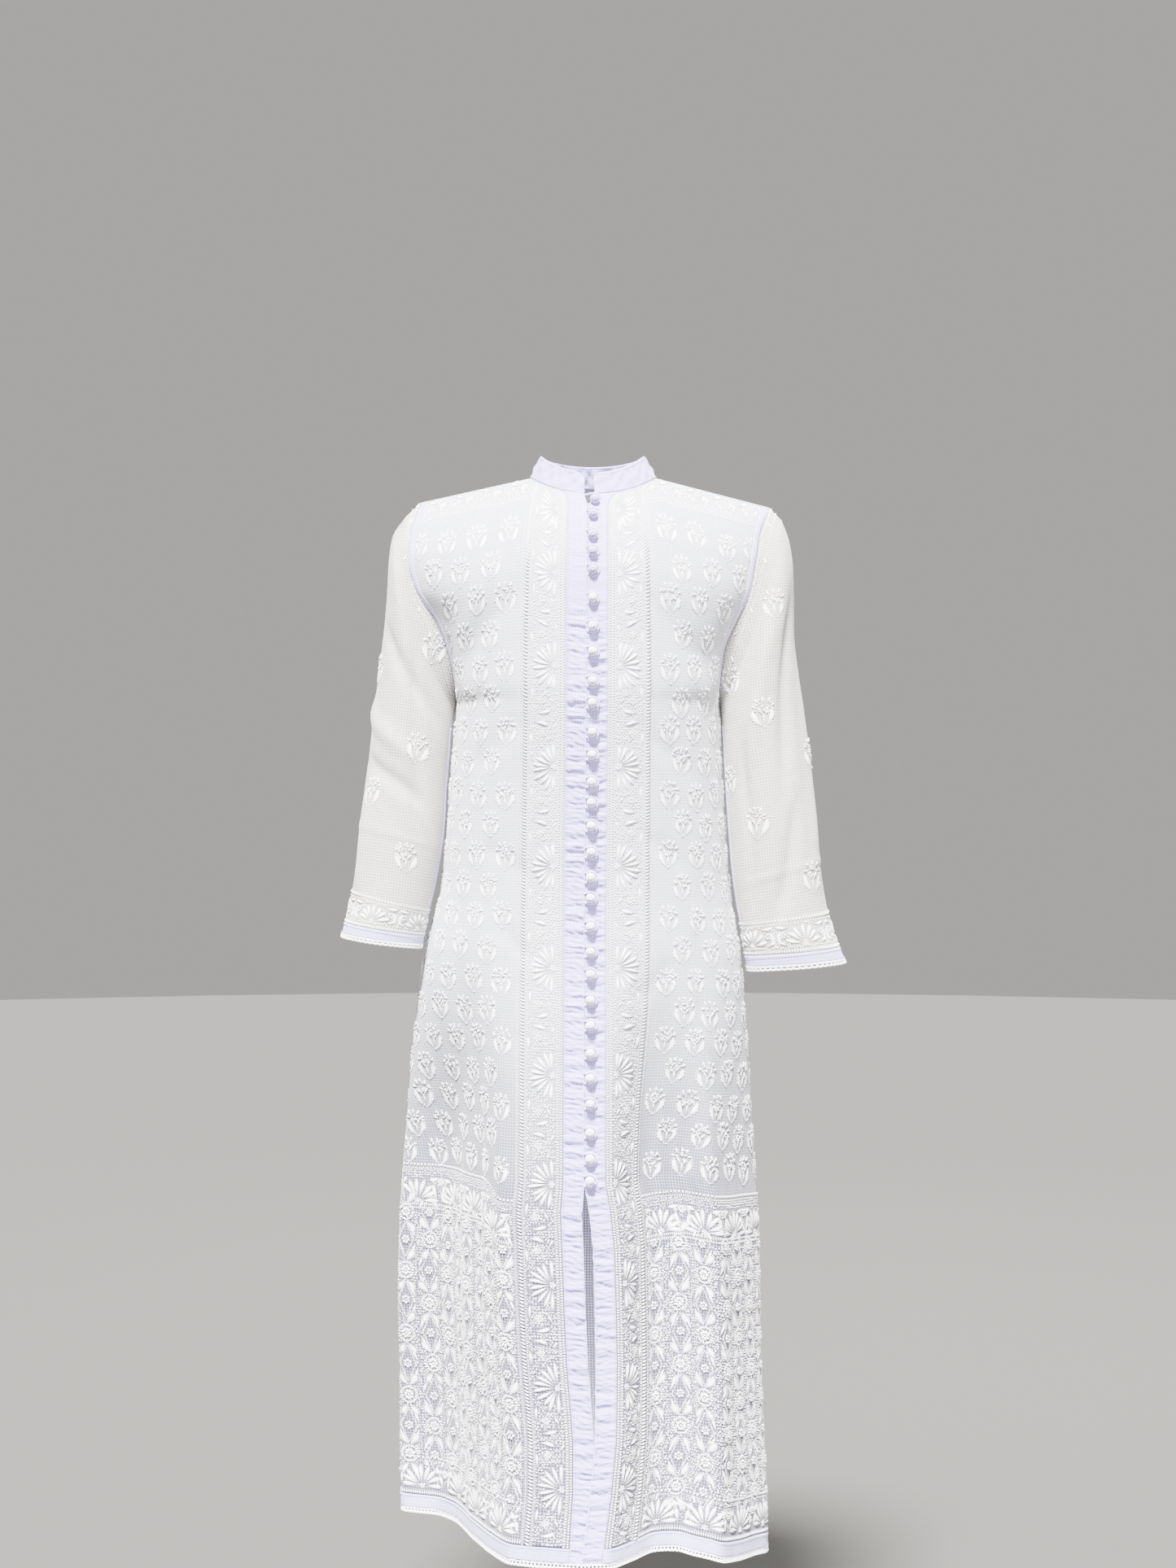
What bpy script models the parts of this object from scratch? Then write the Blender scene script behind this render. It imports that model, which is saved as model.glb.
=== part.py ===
"""A long chikankari kurta in its worn, hollow form.

Metres, +Z up. The front faces -Y and the wearer's left is +X. The origin is the middle of
the neck at the height where the shoulder seams meet the collar. Every piece of cloth is a
wall of its own, 0.3 mm from the next piece at each seam.
"""

import math
from collections import namedtuple

import bmesh
import bpy
from mathutils import Vector

for old in list(bpy.data.objects):
    bpy.data.objects.remove(old, do_unlink=True)

# Driving dimensions
MM = 0.001
WALL = 1.2 * MM
SEAM_GAP = 0.3 * MM
HEM_DROP = 1112.0
UNDERARM_DROP = 240.0
SHOULDER_TIP_DROP = {"right": 26.0, "left": 31.4}
NECK_HALF_WIDTH = 67.0
NECK_HALF_DEPTH = {"front": 62.0, "back": 50.0}
NECK_DROP = {"front": 24.0, "back": 6.0}
NECK_ROUNDNESS = 0.8
SEAT_OF_NECK_TILT = 0.35
SHOULDER_ROUND = 130.0
CHEST_FULLNESS = 0.85
PLACKET_WIDTH = 21.0
LOOP_STRIP_WIDTH = 2.2
LACE_HEIGHT = 5.5
HEM_BAND_HEIGHT = 14.0
CUFF_BAND_HEIGHT = 11.0
CUFF_LACE_HEIGHT = 5.0
COLLAR_RISE = 23.5
COLLAR_TOP_HALF_WIDTH = 55.0
COLLAR_TOP_HALF_DEPTH = {"front": 53.0, "back": 45.0}
COLLAR_TOP_SHIFT = -1.0
BUTTON_RADIUS = 5.2
BUTTON_DEPTH = 0.86
BUTTON_FROM_CLOSING = 5.2
LOOP_CORD_RADIUS = 1.0
LOOP_LIFT = 0.45
LOOP_REACH = 6.7
LOOP_FOOT = 4.4
LOOP_ROOT = 0.5
LOOP_BEND = 0.4
LOOP_TURNS = (75, 25, -25, -75)
STRIP_PAST_BUTTONS = 5.0
SKIRT_FROM = 480.0
SKIRT_FULL = 740.0

OUT = {"right": -1.0, "left": 1.0}
FACING = {"front": -1.0, "back": 1.0}

# Side seams, drop in mm below the shoulder points. right and left are how far each side seam
# lies from the middle plane, front and back the depth of the cloth at the middle, and
# right_y and left_y where the side seams lie from front to back.
Level = namedtuple("Level", "drop right left front back right_y left_y")
LEVELS = (
    Level(240, 145, 133, 120, 98, 0, 0),
    Level(346, 154, 139, 116, 91, 0, 0),
    Level(430, 161, 145, 115, 88, 0, 0),
    Level(498, 177, 156, 118, 94, 0, 0),
    Level(567, 188, 162, 124, 101, 0, -1),
    Level(707, 201, 171, 136, 108, 1, -4),
    Level(794, 207, 176, 144, 113, 2, -8),
    Level(880, 209, 177, 151, 117, 3, -12),
    Level(968, 207, 179, 158, 121, 4, -18),
    Level(1055, 207, 183, 166, 126, 5, -24),
    Level(1112, 205, 184, 174, 130, 5, -28),
)

# Armholes. rise runs from 0 at the underarm to 1 at the shoulder tip. out is how far the seam
# lies outside the underarm on each side, front_y and back_y its place from front to back,
# front and back the depth of the chest there, and turn the angle the cloth has turned
# through on its way from the middle to the seam, in degrees.
Armhole = namedtuple("Armhole", "rise out_right out_left front_y back_y front back turn")
ARMHOLE = (
    Armhole(0.00, 0, 0, 0, 0, 120, 98, 90),
    Armhole(0.05, 1, 0.5, 16, 15, 120, 98, 89),
    Armhole(0.13, 3, 1.5, 28, 26, 119, 99, 84),
    Armhole(0.25, 8.5, 4.5, 37, 35, 117, 99, 76),
    Armhole(0.40, 21, 17, 42, 41, 114, 99, 68),
    Armhole(0.55, 42, 32, 44, 44, 110, 97, 64),
    Armhole(0.70, 50, 38, 42, 43, 106, 94, 62),
    Armhole(0.84, 48, 43, 31, 33, 101, 90, 62),
    Armhole(0.94, 43, 50, 17, 19, 96, 86, 62),
    Armhole(1.00, 39, 55, 0, 0, 92, 83, 62),
)

# The two front edges. Above 735 they are buttoned edge to edge, below it the slit opens, and
# from 991 the wearer's left front laps over the right one by lap mm.
Closing = namedtuple("Closing", "drop right left lap")
CLOSING = (
    Closing(25, -9.5, 1.5, 0),
    Closing(38, -6.3, -5.7, 0),
    Closing(240, -6.9, -6.3, 0),
    Closing(440, -8.8, -8.2, 0),
    Closing(735, -9.6, -9.0, 0),
    Closing(762, -11.9, -4.1, 0),
    Closing(800, -10.2, -0.4, 0),
    Closing(862, -8.1, 1.4, 0),
    Closing(914, -5.5, 2.3, 0),
    Closing(965, -1.2, 1.8, 1.5),
    Closing(991, 0.6, 1.2, 2.5),
    Closing(1041, 0.5, -3.7, 3.5),
    Closing(1112, -4.5, -13.2, 5),
)

# The skirt's section below the hips: the share of the full depth at each place across, from
# the middle (0) to the side seam (1). The sides lie flat as wings, and folds part the rest.
Fold = namedtuple("Fold", "across right_front left_front right_back left_back")
SKIRT_FOLDS = (
    Fold(0.00, 1.00, 1.00, 0.94, 0.94),
    Fold(0.08, 1.00, 0.99, 0.97, 0.96),
    Fold(0.16, 1.00, 0.84, 1.00, 1.00),
    Fold(0.25, 0.98, 0.62, 0.97, 1.00),
    Fold(0.33, 0.80, 0.59, 0.86, 0.90),
    Fold(0.40, 0.56, 0.66, 0.84, 0.76),
    Fold(0.50, 0.22, 0.70, 0.72, 0.72),
    Fold(0.60, 0.10, 0.53, 0.40, 0.60),
    Fold(0.75, 0.06, 0.27, 0.17, 0.30),
    Fold(0.90, 0.03, 0.11, 0.07, 0.13),
    Fold(1.00, 0.00, 0.00, 0.00, 0.00),
)

# Drop of the lace's lower edge at each place across. The wearer's left side hangs lower.
Hem = namedtuple("Hem", "across right_front left_front right_back left_back")
HEM = (
    Hem(0.00, 1112, 1110, 1121, 1121),
    Hem(0.25, 1107, 1109, 1114, 1127),
    Hem(0.45, 1105, 1113, 1109, 1132),
    Hem(0.62, 1104, 1124, 1106, 1134),
    Hem(1.00, 1103.5, 1137, 1103.5, 1137),
)

# Sleeve sections from the armhole to the cuff: the outer and the inner line as seen from the
# front, half the depth from front to back, how far forward the arm has come, and how far the
# front and back of the section round out past the straight line between the two.
Ring = namedtuple("Ring", "outer outer_drop inner inner_drop half_depth forward bulge")
SLEEVE = {
    "right": (
        Ring(200, 41, 147.6, 249, 46, 0, 18),
        Ring(214, 63, 149.0, 257, 50, 1, 14),
        Ring(218, 90, 150.2, 267, 52, 2, 9),
        Ring(219.5, 122, 151.4, 280, 53, 3, 6),
        Ring(222.5, 158, 152.7, 296, 53, 5, 3),
        Ring(227, 198, 154.1, 315, 52, 7, 1),
        Ring(232, 240, 155.6, 337, 51, 9, 0),
        Ring(237, 285, 156.9, 362, 50, 12, 0),
        Ring(242.5, 330, 159.2, 388, 49, 15, 0),
        Ring(248, 372, 163, 412, 48, 18, 0),
        Ring(251.5, 412, 168.5, 440, 46, 21, 0),
        Ring(256.5, 450, 175, 468, 44, 24, 0),
        Ring(266, 489, 181, 500, 42, 27, 0),
    ),
    "left": (
        Ring(201, 45, 134.8, 246, 46, 0, 8),
        Ring(209, 68, 135.8, 254, 50, 1, 6),
        Ring(213, 96, 136.6, 265, 52, 2, 4),
        Ring(214, 130, 137.4, 279, 53, 3, 3),
        Ring(214, 168, 138.3, 296, 53, 5, 2),
        Ring(216, 208, 139.4, 317, 52, 7, 1),
        Ring(220.5, 250, 140.7, 340, 51, 9, 0),
        Ring(226.5, 295, 142.3, 366, 50, 12, 0),
        Ring(232, 340, 144.2, 392, 49, 14, 0),
        Ring(238, 385, 146.5, 420, 47, 16, 0),
        Ring(243, 430, 150.5, 450, 44, 18, 0),
        Ring(251, 474, 156.5, 485, 41, 20, 0),
        Ring(267, 517, 162.5, 525, 36, 22, 0),
    ),
}

# Drop of each button below the shoulder points: five close together, then a looser row.
BUTTON_DROPS = (
    34, 50, 72, 89, 108,
    137, 166, 192, 222, 244, 274, 297, 325, 346, 370, 397, 423,
    444, 473, 499, 522, 548, 574, 602, 627, 653, 682, 708, 730,
)

# Mesh rows of the panels below the armholes, as drops at the centre front
ROW_DROPS = (1075, 1041, 991, 965, 914, 862, 800, 762, 735, 700, 650, 600, 540, 480, 420, 360, 300)
NECK_COLUMNS = 4
SHOULDER_COLUMNS = 8
COLLAR_COLUMNS = 28
PLACKET_SHARE_OF_LACE = 0.08
NEAR = 1e-5


def read(table, key, column, at, smooth=True):
    """A column's value at a place between two rows, on a curve that doesn't overshoot."""
    rows = sorted(table, key=lambda row: getattr(row, key))
    places = [getattr(row, key) for row in rows]
    values = [getattr(row, column) for row in rows]
    at = min(max(at, places[0]), places[-1])
    last = len(places) - 2
    i = next((j for j in range(last + 1) if at <= places[j + 1]), last)
    span = places[i + 1] - places[i]
    part = (at - places[i]) / span
    if not smooth:
        return values[i] + (values[i + 1] - values[i]) * part

    def slope(j):
        if j <= 0 or j > last:
            return (values[1] - values[0]) / (places[1] - places[0]) if j <= 0 else (
                (values[-1] - values[-2]) / (places[-1] - places[-2]))
        before = (values[j] - values[j - 1]) / (places[j] - places[j - 1])
        after = (values[j + 1] - values[j]) / (places[j + 1] - places[j])
        if before * after <= 0:
            return 0.0
        return 2 * before * after / (before + after)

    p2 = part * part
    p3 = p2 * part
    return ((2 * p3 - 3 * p2 + 1) * values[i] + (p3 - 2 * p2 + part) * span * slope(i)
            + (3 * p2 - 2 * p3) * values[i + 1] + (p3 - p2) * span * slope(i + 1))


def ease(low, high, at):
    share = min(max((at - low) / (high - low), 0.0), 1.0)
    return share * share * (3 - 2 * share)


# The body's surface
def level_facts(side, face, level):
    """Edge place, middle depth and turn of one level: 0 hem, 1 underarm, 2 shoulder, in mm."""
    if level <= 1:
        drop = HEM_DROP - level * (HEM_DROP - UNDERARM_DROP)
        edge_x = OUT[side] * read(LEVELS, "drop", side, drop)
        edge_y = read(LEVELS, "drop", side + "_y", drop)
        depth = read(LEVELS, "drop", face, drop)
        return edge_x, edge_y, FACING[face] * depth, math.radians(90)
    rise = level - 1
    under = getattr(LEVELS[0], side)
    edge_x = OUT[side] * (under + read(ARMHOLE, "rise", "out_" + side, rise))
    edge_y = FACING[face] * read(ARMHOLE, "rise", face + "_y", rise)
    depth = read(ARMHOLE, "rise", face, rise)
    return edge_x, edge_y, FACING[face] * depth, math.radians(read(ARMHOLE, "rise", "turn", rise))


def top_line(side, face, x):
    """y and z, in mm, of the neckline and the shoulder seam over a place across."""
    reach = abs(x) / NECK_HALF_WIDTH
    if reach < 1:
        hollow = 1 - reach * reach
        y = FACING[face] * NECK_HALF_DEPTH[face] * math.sqrt(hollow)
        return y, -NECK_DROP[face] * hollow ** NECK_ROUNDNESS
    tip = getattr(LEVELS[0], side) + getattr(ARMHOLE[-1], "out_" + side)
    share = (abs(x) - NECK_HALF_WIDTH) / (tip - NECK_HALF_WIDTH)
    return 0.0, -SHOULDER_TIP_DROP[side] * share


def middle_x(side, face, level):
    """Where a half of the body starts: the closing edge in front, the middle at the back."""
    if face == "back":
        edges = [level_facts(s, face, level)[0] for s in ("right", "left")]
        return sum(edges) / 2
    return read(CLOSING, "drop", side, closing_drop(level), smooth=False)


def closing_drop(level):
    if level <= 1:
        return HEM_DROP - level * (HEM_DROP - UNDERARM_DROP)
    return UNDERARM_DROP - (level - 1) * (UNDERARM_DROP - NECK_DROP["front"])


def body_point(side, face, across, level):
    """A point of the outer face of the body cloth; across is 0 at the middle, 1 at the seam."""
    edge_x, edge_y, depth, turn = level_facts(side, face, level)
    start = middle_x(side, face, level)
    x = start + (edge_x - start) * math.sin(across * turn) / math.sin(turn)

    last = math.cos(turn) ** CHEST_FULLNESS if turn < math.radians(90) else 0.0
    here = max(math.cos(across * turn), 0.0) ** CHEST_FULLNESS
    share = (here - last) / (1 - last)
    drop = closing_drop(min(level, 1.0))
    skirt = ease(SKIRT_FROM, SKIRT_FULL, drop)
    if skirt > 0:
        folded = read(SKIRT_FOLDS, "across", side + "_" + face, across)
        share += (folded - share) * skirt
    y = edge_y + (depth - edge_y) * share
    if face == "front" and side == "left":
        y -= read(CLOSING, "drop", "lap", drop) * share

    top_edge, _, top_depth, top_turn = level_facts(side, face, 2.0)
    top_start = middle_x(side, face, 2.0)
    top_x = top_start + (top_edge - top_start) * math.sin(across * top_turn) / math.sin(top_turn)
    top_y, top_z = top_line(side, face, top_x)
    if level > 1:
        flat = math.cos(top_turn) ** CHEST_FULLNESS
        top_share = (math.cos(across * top_turn) ** CHEST_FULLNESS - flat) / (1 - flat)
        full = top_depth * top_share
        z = -UNDERARM_DROP + (level - 1) * (top_z + UNDERARM_DROP)
        if across < 1:
            started = 1 - math.sqrt(1 - min(top_y / full, 1.0) ** 2)
            below = min(started + (top_z - z) / SHOULDER_ROUND, 1.0)
            y -= full * (1 - math.sqrt(1 - (1 - below) ** 2))
    else:
        hem = -read(HEM, "across", side + "_" + face, across)
        z = hem + level * (-UNDERARM_DROP - hem)
    return Vector((x, y, z)) * MM


def across_at(side, face, level, distance):
    """The place across that lies a distance, in mm, from the closing edge."""
    edge_x, _, _, turn = level_facts(side, face, level)
    start = middle_x(side, face, level)
    return math.asin(distance * math.sin(turn) / abs(edge_x - start)) / turn


def armhole_inward(side, point):
    """The way from the armhole seam to the middle of the armhole, along its plane."""
    middle = -(UNDERARM_DROP + SHOULDER_TIP_DROP[side]) / 2 * MM
    return Vector((0, -point.y, middle - point.z))


# Walls
def grid_normals(rows, closed):
    """Outward normals of a grid whose rows run up and whose columns run along."""
    count = len(rows[0])
    normals = []
    for i, row in enumerate(rows):
        line = []
        for j in range(count):
            if closed:
                along = row[(j + 1) % count] - row[j - 1]
            else:
                along = row[min(j + 1, count - 1)] - row[max(j - 1, 0)]
            up = rows[min(i + 1, len(rows) - 1)][j] - rows[max(i - 1, 0)][j]
            line.append(along.cross(up).normalized())
        normals.append(line)
    return normals


def wall(name, rows, finish, closed=False, inward=None, thickness=WALL):
    """A cloth wall from the grid of its outer face, thickened inwards.

    inward maps (row, column) to a direction that replaces the normal at a seam.
    """
    inward = inward or {}
    normals = grid_normals(rows, closed)
    count = len(rows[0])
    shape = bmesh.new()
    outer = [[shape.verts.new(p) for p in row] for row in rows]
    inner = []
    for i, row in enumerate(rows):
        line = []
        for j, point in enumerate(row):
            direction = inward.get((i, j), -normals[i][j])
            line.append(shape.verts.new(point + direction.normalized() * thickness))
        inner.append(line)
    columns = range(count if closed else count - 1)
    for i in range(len(rows) - 1):
        for j in columns:
            k = (j + 1) % count
            shape.faces.new((outer[i][j], outer[i][k], outer[i + 1][k], outer[i + 1][j]))
            shape.faces.new((inner[i][j], inner[i + 1][j], inner[i + 1][k], inner[i][k]))
    for j in columns:
        k = (j + 1) % count
        shape.faces.new((outer[0][k], outer[0][j], inner[0][j], inner[0][k]))
        shape.faces.new((outer[-1][j], outer[-1][k], inner[-1][k], inner[-1][j]))
    if not closed:
        for i in range(len(rows) - 1):
            shape.faces.new((outer[i][0], outer[i + 1][0], inner[i + 1][0], inner[i][0]))
            shape.faces.new((outer[i + 1][-1], outer[i][-1], inner[i][-1], inner[i + 1][-1]))
    return add_object(name, shape, finish)


def add_object(name, shape, finish):
    mesh = bpy.data.meshes.new(name)
    shape.to_mesh(mesh)
    shape.free()
    mesh.materials.append(finish)
    made = bpy.data.objects.new(name, mesh)
    bpy.context.collection.objects.link(made)
    return made


def cloth(name, colour, roughness):
    finish = bpy.data.materials.new(name)
    finish.use_nodes = True
    shader = finish.node_tree.nodes["Principled BSDF"]
    shader.inputs["Base Color"].default_value = (*colour, 1.0)
    shader.inputs["Roughness"].default_value = roughness
    shader.inputs["Metallic"].default_value = 0.0
    return finish


WHITE_CHECK = cloth("white_check_cotton", (0.80, 0.79, 0.84), 0.85)
LILAC = cloth("lilac_cotton", (0.66, 0.62, 0.80), 0.80)
LACE = cloth("white_cotton_lace", (0.84, 0.83, 0.86), 0.90)
THREAD = cloth("white_embroidery_thread", (0.86, 0.85, 0.86), 0.70)

# Levels of the rows, from the hem up
FULL = HEM_DROP - UNDERARM_DROP
GAP_SHARE = SEAM_GAP / MM / FULL
LACE_LEVELS = (0.0, LACE_HEIGHT / FULL)
BAND_LEVELS = (LACE_LEVELS[1] + GAP_SHARE, LACE_LEVELS[1] + GAP_SHARE + HEM_BAND_HEIGHT / FULL)
PANEL_LEVELS = (
    [BAND_LEVELS[1] + GAP_SHARE]
    + [(HEM_DROP - drop) / FULL for drop in ROW_DROPS]
    + [1 + row.rise for row in ARMHOLE]
)
PLACKET_LEVELS = [BAND_LEVELS[0], *PANEL_LEVELS]


STRAIGHT_BACK = Vector((0, 1, 0))


def neck_inward(point):
    return Vector((-point.x, -point.y, 0)).normalized() + Vector((0, 0, -SEAT_OF_NECK_TILT))


def seam_x(point, side, shift):
    """The point moved a part of the seam gap outwards (positive) or inwards."""
    return point + Vector((OUT[side] * shift * SEAM_GAP, 0, 0))


def seam_y(point, face, shift):
    return point + Vector((0, FACING[face] * shift * SEAM_GAP, 0))


def panel_columns(side, face, first_x):
    """Places across of a half panel's columns, read off the neckline and the shoulder."""
    edge_x, _, _, turn = level_facts(side, face, 2.0)
    start = middle_x(side, face, 2.0)
    first = math.asin(min(abs(first_x) / NECK_HALF_WIDTH, 1.0))
    neck = [NECK_HALF_WIDTH * math.sin(first + (math.pi / 2 - first) * i / NECK_COLUMNS)
            for i in range(NECK_COLUMNS)]
    step = (abs(edge_x) - NECK_HALF_WIDTH) / SHOULDER_COLUMNS
    shoulder = [NECK_HALF_WIDTH + step * i for i in range(SHOULDER_COLUMNS + 1)]
    places = []
    for x in neck + shoulder:
        share = (OUT[side] * x - start) / (edge_x - start)
        places.append(math.asin(min(share, 1.0) * math.sin(turn)) / turn)
    return places[:-1] + [1.0]


def front_columns(side):
    """A front panel's columns, from 0 at its placket seam to 1 at the side seam."""
    band = across_at(side, "front", 2.0, PLACKET_WIDTH)
    band_x = body_point(side, "front", band, 2.0).x / MM
    return [(c - band) / (1 - band) for c in panel_columns(side, "front", band_x)]


def back_row(level, top=False):
    """A row of the back, with the inward directions at its two seams."""
    places = [("left", a) for a in panel_columns("left", "back", 0.0)[::-1]]
    places += [("right", a) for a in panel_columns("right", "back", 0.0)[1:]]
    row, inward = [], {}
    for side, across in places:
        point = body_point(side, "back", across, level)
        point, direction = settle_edges("back", side, across, level, point, top)
        if direction is not None:
            inward[len(row)] = direction
        row.append(point)
    return row, inward


def edge_inward(side, level, point):
    """The direction a wall thickens in at the outer edge of a panel."""
    if level >= 1:
        return armhole_inward(side, point)
    return Vector((-OUT[side], 0, 0))


def settle_edges(face, side, across, level, point, top):
    """Seam gaps and inward directions of a panel's points on a seam."""
    moved, direction = point, None
    if across >= 1.0:
        moved = seam_x(point, side, -0.5) if level >= 1 else point
        direction = edge_inward(side, level, point)
        if level <= 1 or top:
            moved = seam_y(moved, face, 0.5)
    elif top and abs(point.x) > NECK_HALF_WIDTH * MM + NEAR * MM:
        moved = seam_y(point, face, 0.5)
        direction = Vector((0, 0, -1))
    elif top:
        moved = point - Vector((0, 0, SEAM_GAP))
        if abs(point.y) < NEAR:
            moved = seam_y(moved, face, 0.5)
        direction = neck_inward(point)
    return moved, direction


def build_front(side):
    """A front panel: from the placket band to the side seam and the armhole."""
    columns = front_columns(side)
    rows, inward = [], {}
    for i, level in enumerate(PANEL_LEVELS):
        band = across_at(side, "front", level, PLACKET_WIDTH + SEAM_GAP / MM)
        row = []
        for share in columns:
            across = 1 - (1 - band) * (1 - share)
            point = body_point(side, "front", across, level)
            point, direction = settle_edges("front", side, across, level, point,
                                            level == PANEL_LEVELS[-1])
            if direction is None and share == columns[0]:
                direction = STRAIGHT_BACK
            if direction is not None:
                inward[(i, len(row))] = direction
            row.append(point)
        rows.append(row)
    if side == "right":
        rows, inward = flip(rows, inward)
    wall("front_" + side, rows, WHITE_CHECK, inward=inward)


def flip(rows, inward):
    """The same grid with its columns in the other order."""
    last = len(rows[0]) - 1
    return [row[::-1] for row in rows], {(i, last - j): d for (i, j), d in inward.items()}


def build_back():
    """The back panel, from side seam to side seam."""
    rows, inward = [], {}
    for i, level in enumerate(PANEL_LEVELS):
        row, seams = back_row(level, level == PANEL_LEVELS[-1])
        rows.append(row)
        inward.update({(i, j): direction for j, direction in seams.items()})
    wall("back", rows, WHITE_CHECK, inward=inward)


def build_placket(side):
    """A placket band. The wearer's right one ends at the strip that holds the loops."""
    rows, inward = [], {}
    for i, level in enumerate(PLACKET_LEVELS):
        start = 0.0
        if side == "right" and closing_drop(level) <= BUTTON_DROPS[-1] + STRIP_PAST_BUTTONS:
            start = across_at(side, "front", level, LOOP_STRIP_WIDTH + SEAM_GAP / MM)
        end = across_at(side, "front", level, PLACKET_WIDTH)
        row = [body_point(side, "front", start + (end - start) * part, level)
               for part in (0.0, 0.5, 1.0)]
        inward[(i, 0)] = STRAIGHT_BACK
        inward[(i, 2)] = STRAIGHT_BACK
        if level == PLACKET_LEVELS[-1]:
            for j, point in enumerate(row):
                inward[(i, j)] = neck_inward(point)
                row[j] = point - Vector((0, 0, SEAM_GAP))
        rows.append(row)
    if side == "right":
        rows, inward = flip(rows, inward)
    wall("placket_" + side, rows, LILAC, inward=inward)


def build_hem_strip(name, levels, finish, with_placket):
    """The hem bands and the lace edgings, one for each panel."""
    for side in OUT:
        rows, inward = [], {}
        columns = front_columns(side)
        if with_placket:
            columns = [0.0] + [1 - (1 - PLACKET_SHARE_OF_LACE) * (1 - c) for c in columns]
        for i, level in enumerate(levels):
            first = 0.0
            if not with_placket:
                first = across_at(side, "front", level, PLACKET_WIDTH + SEAM_GAP / MM)
            row = []
            for share in columns:
                across = 1 - (1 - first) * (1 - share)
                point = body_point(side, "front", across, level)
                point, direction = settle_edges("front", side, across, level, point, False)
                if share == columns[0]:
                    direction = STRAIGHT_BACK
                if direction is not None:
                    inward[(i, len(row))] = direction
                row.append(point)
            rows.append(row)
        if side == "right":
            rows, inward = flip(rows, inward)
        wall(name + "_front_" + side, rows, finish, inward=inward)
    rows, inward = [], {}
    for i, level in enumerate(levels):
        row, seams = back_row(level)
        rows.append(row)
        inward.update({(i, j): direction for j, direction in seams.items()})
    wall(name + "_back", rows, finish, inward=inward)


# Sleeves
def sleeve_point(side, ring, angle):
    """A point of the sleeve: angle 0 on the outer line, a quarter turn at the front."""
    table = SLEEVE[side]
    rows = [Numbered(i + 1, *row) for i, row in enumerate(table)]
    values = {c: read(rows, "number", c, ring) for c in Ring._fields}
    share = (1 - math.cos(angle)) / 2
    x = values["outer"] + (values["inner"] - values["outer"]) * share
    x += values["bulge"] * math.sin(angle) ** 2
    drop = values["outer_drop"] + (values["inner_drop"] - values["outer_drop"]) * share
    y = -values["forward"] - values["half_depth"] * math.sin(angle)
    return Vector((OUT[side] * x, y, -drop)) * MM


Numbered = namedtuple("Numbered", ("number",) + Ring._fields)


def armhole_loop(side):
    """Angle and body point of each vertex round the armhole, from the tip by the front."""
    loop = []
    for row in ARMHOLE[::-1]:
        angle = math.acos(2 * row.rise - 1)
        loop.append((angle, body_point(side, "front", 1.0, 1 + row.rise)))
    for row in ARMHOLE[1:-1]:
        angle = 2 * math.pi - math.acos(2 * row.rise - 1)
        loop.append((angle, body_point(side, "back", 1.0, 1 + row.rise)))
    return loop


def build_sleeve(side):
    """A set-in sleeve, its lilac cuff hem and its lace edging."""
    loop = armhole_loop(side)
    last = len(SLEEVE[side])
    end_length = SLEEVE[side][-1].outer_drop - SLEEVE[side][-2].outer_drop
    lace = CUFF_LACE_HEIGHT / end_length
    band = CUFF_BAND_HEIGHT / end_length
    gap = SEAM_GAP / MM / end_length
    first = [seam_x(point, side, 0.5) for _, point in loop]
    inward = {(0, j): armhole_inward(side, point) for j, point in enumerate(first)}
    cloth_rings = list(range(1, last)) + [last - lace - gap - band - gap]
    rows = [first] + [[sleeve_point(side, r, a) for a, _ in loop] for r in cloth_rings]
    band_rings = (last - lace - gap - band, last - lace - gap)
    lace_rings = (last - lace, last)
    pieces = (
        ("sleeve_" + side, rows, WHITE_CHECK, inward),
        ("cuff_band_" + side, [[sleeve_point(side, r, a) for a, _ in loop] for r in band_rings],
         LILAC, None),
        ("cuff_lace_" + side, [[sleeve_point(side, r, a) for a, _ in loop] for r in lace_rings],
         LACE, None),
    )
    for name, grid, finish, seams in pieces:
        if side == "right":
            wall(name, grid, finish, closed=True, inward=seams)
        else:
            turned = [row[::-1] for row in grid]
            count = len(loop) - 1
            seams = {(i, count - j): d for (i, j), d in (seams or {}).items()}
            wall(name, turned, finish, closed=True, inward=seams)


# Collar
def collar_point(angle, rise):
    """A point of the stand collar: angle 0 at the centre front, rise 0 at its seam."""
    face = "front" if math.cos(angle) > 0 else "back"
    forward = abs(math.cos(angle))
    hollow = forward * forward
    base_y = FACING[face] * NECK_HALF_DEPTH[face] * forward
    base_z = -NECK_DROP[face] * hollow ** NECK_ROUNDNESS
    top_y = FACING[face] * COLLAR_TOP_HALF_DEPTH[face] * forward
    x = NECK_HALF_WIDTH * math.sin(angle)
    top_x = COLLAR_TOP_HALF_WIDTH * math.sin(angle) + COLLAR_TOP_SHIFT
    return Vector((x + (top_x - x) * rise, base_y + (top_y - base_y) * rise,
                   base_z + COLLAR_RISE * rise)) * MM


def build_collar():
    """The stand collar, from the wearer's right front edge round the back to the left."""
    start = math.asin(CLOSING[0].left / NECK_HALF_WIDTH)
    end = 2 * math.pi + math.asin(CLOSING[0].right / NECK_HALF_WIDTH)
    rows, inward = [], {}
    for i, rise in enumerate((0.0, 0.5, 1.0)):
        row = []
        for j in range(COLLAR_COLUMNS + 1):
            angle = start + (end - start) * j / COLLAR_COLUMNS
            point = collar_point(angle, rise)
            if rise == 0.0:
                point += Vector((0, 0, SEAM_GAP))
                inward[(i, j)] = neck_inward(point)
            row.append(point)
        rows.append(row)
    wall("collar", rows, LILAC, inward=inward)


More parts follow.
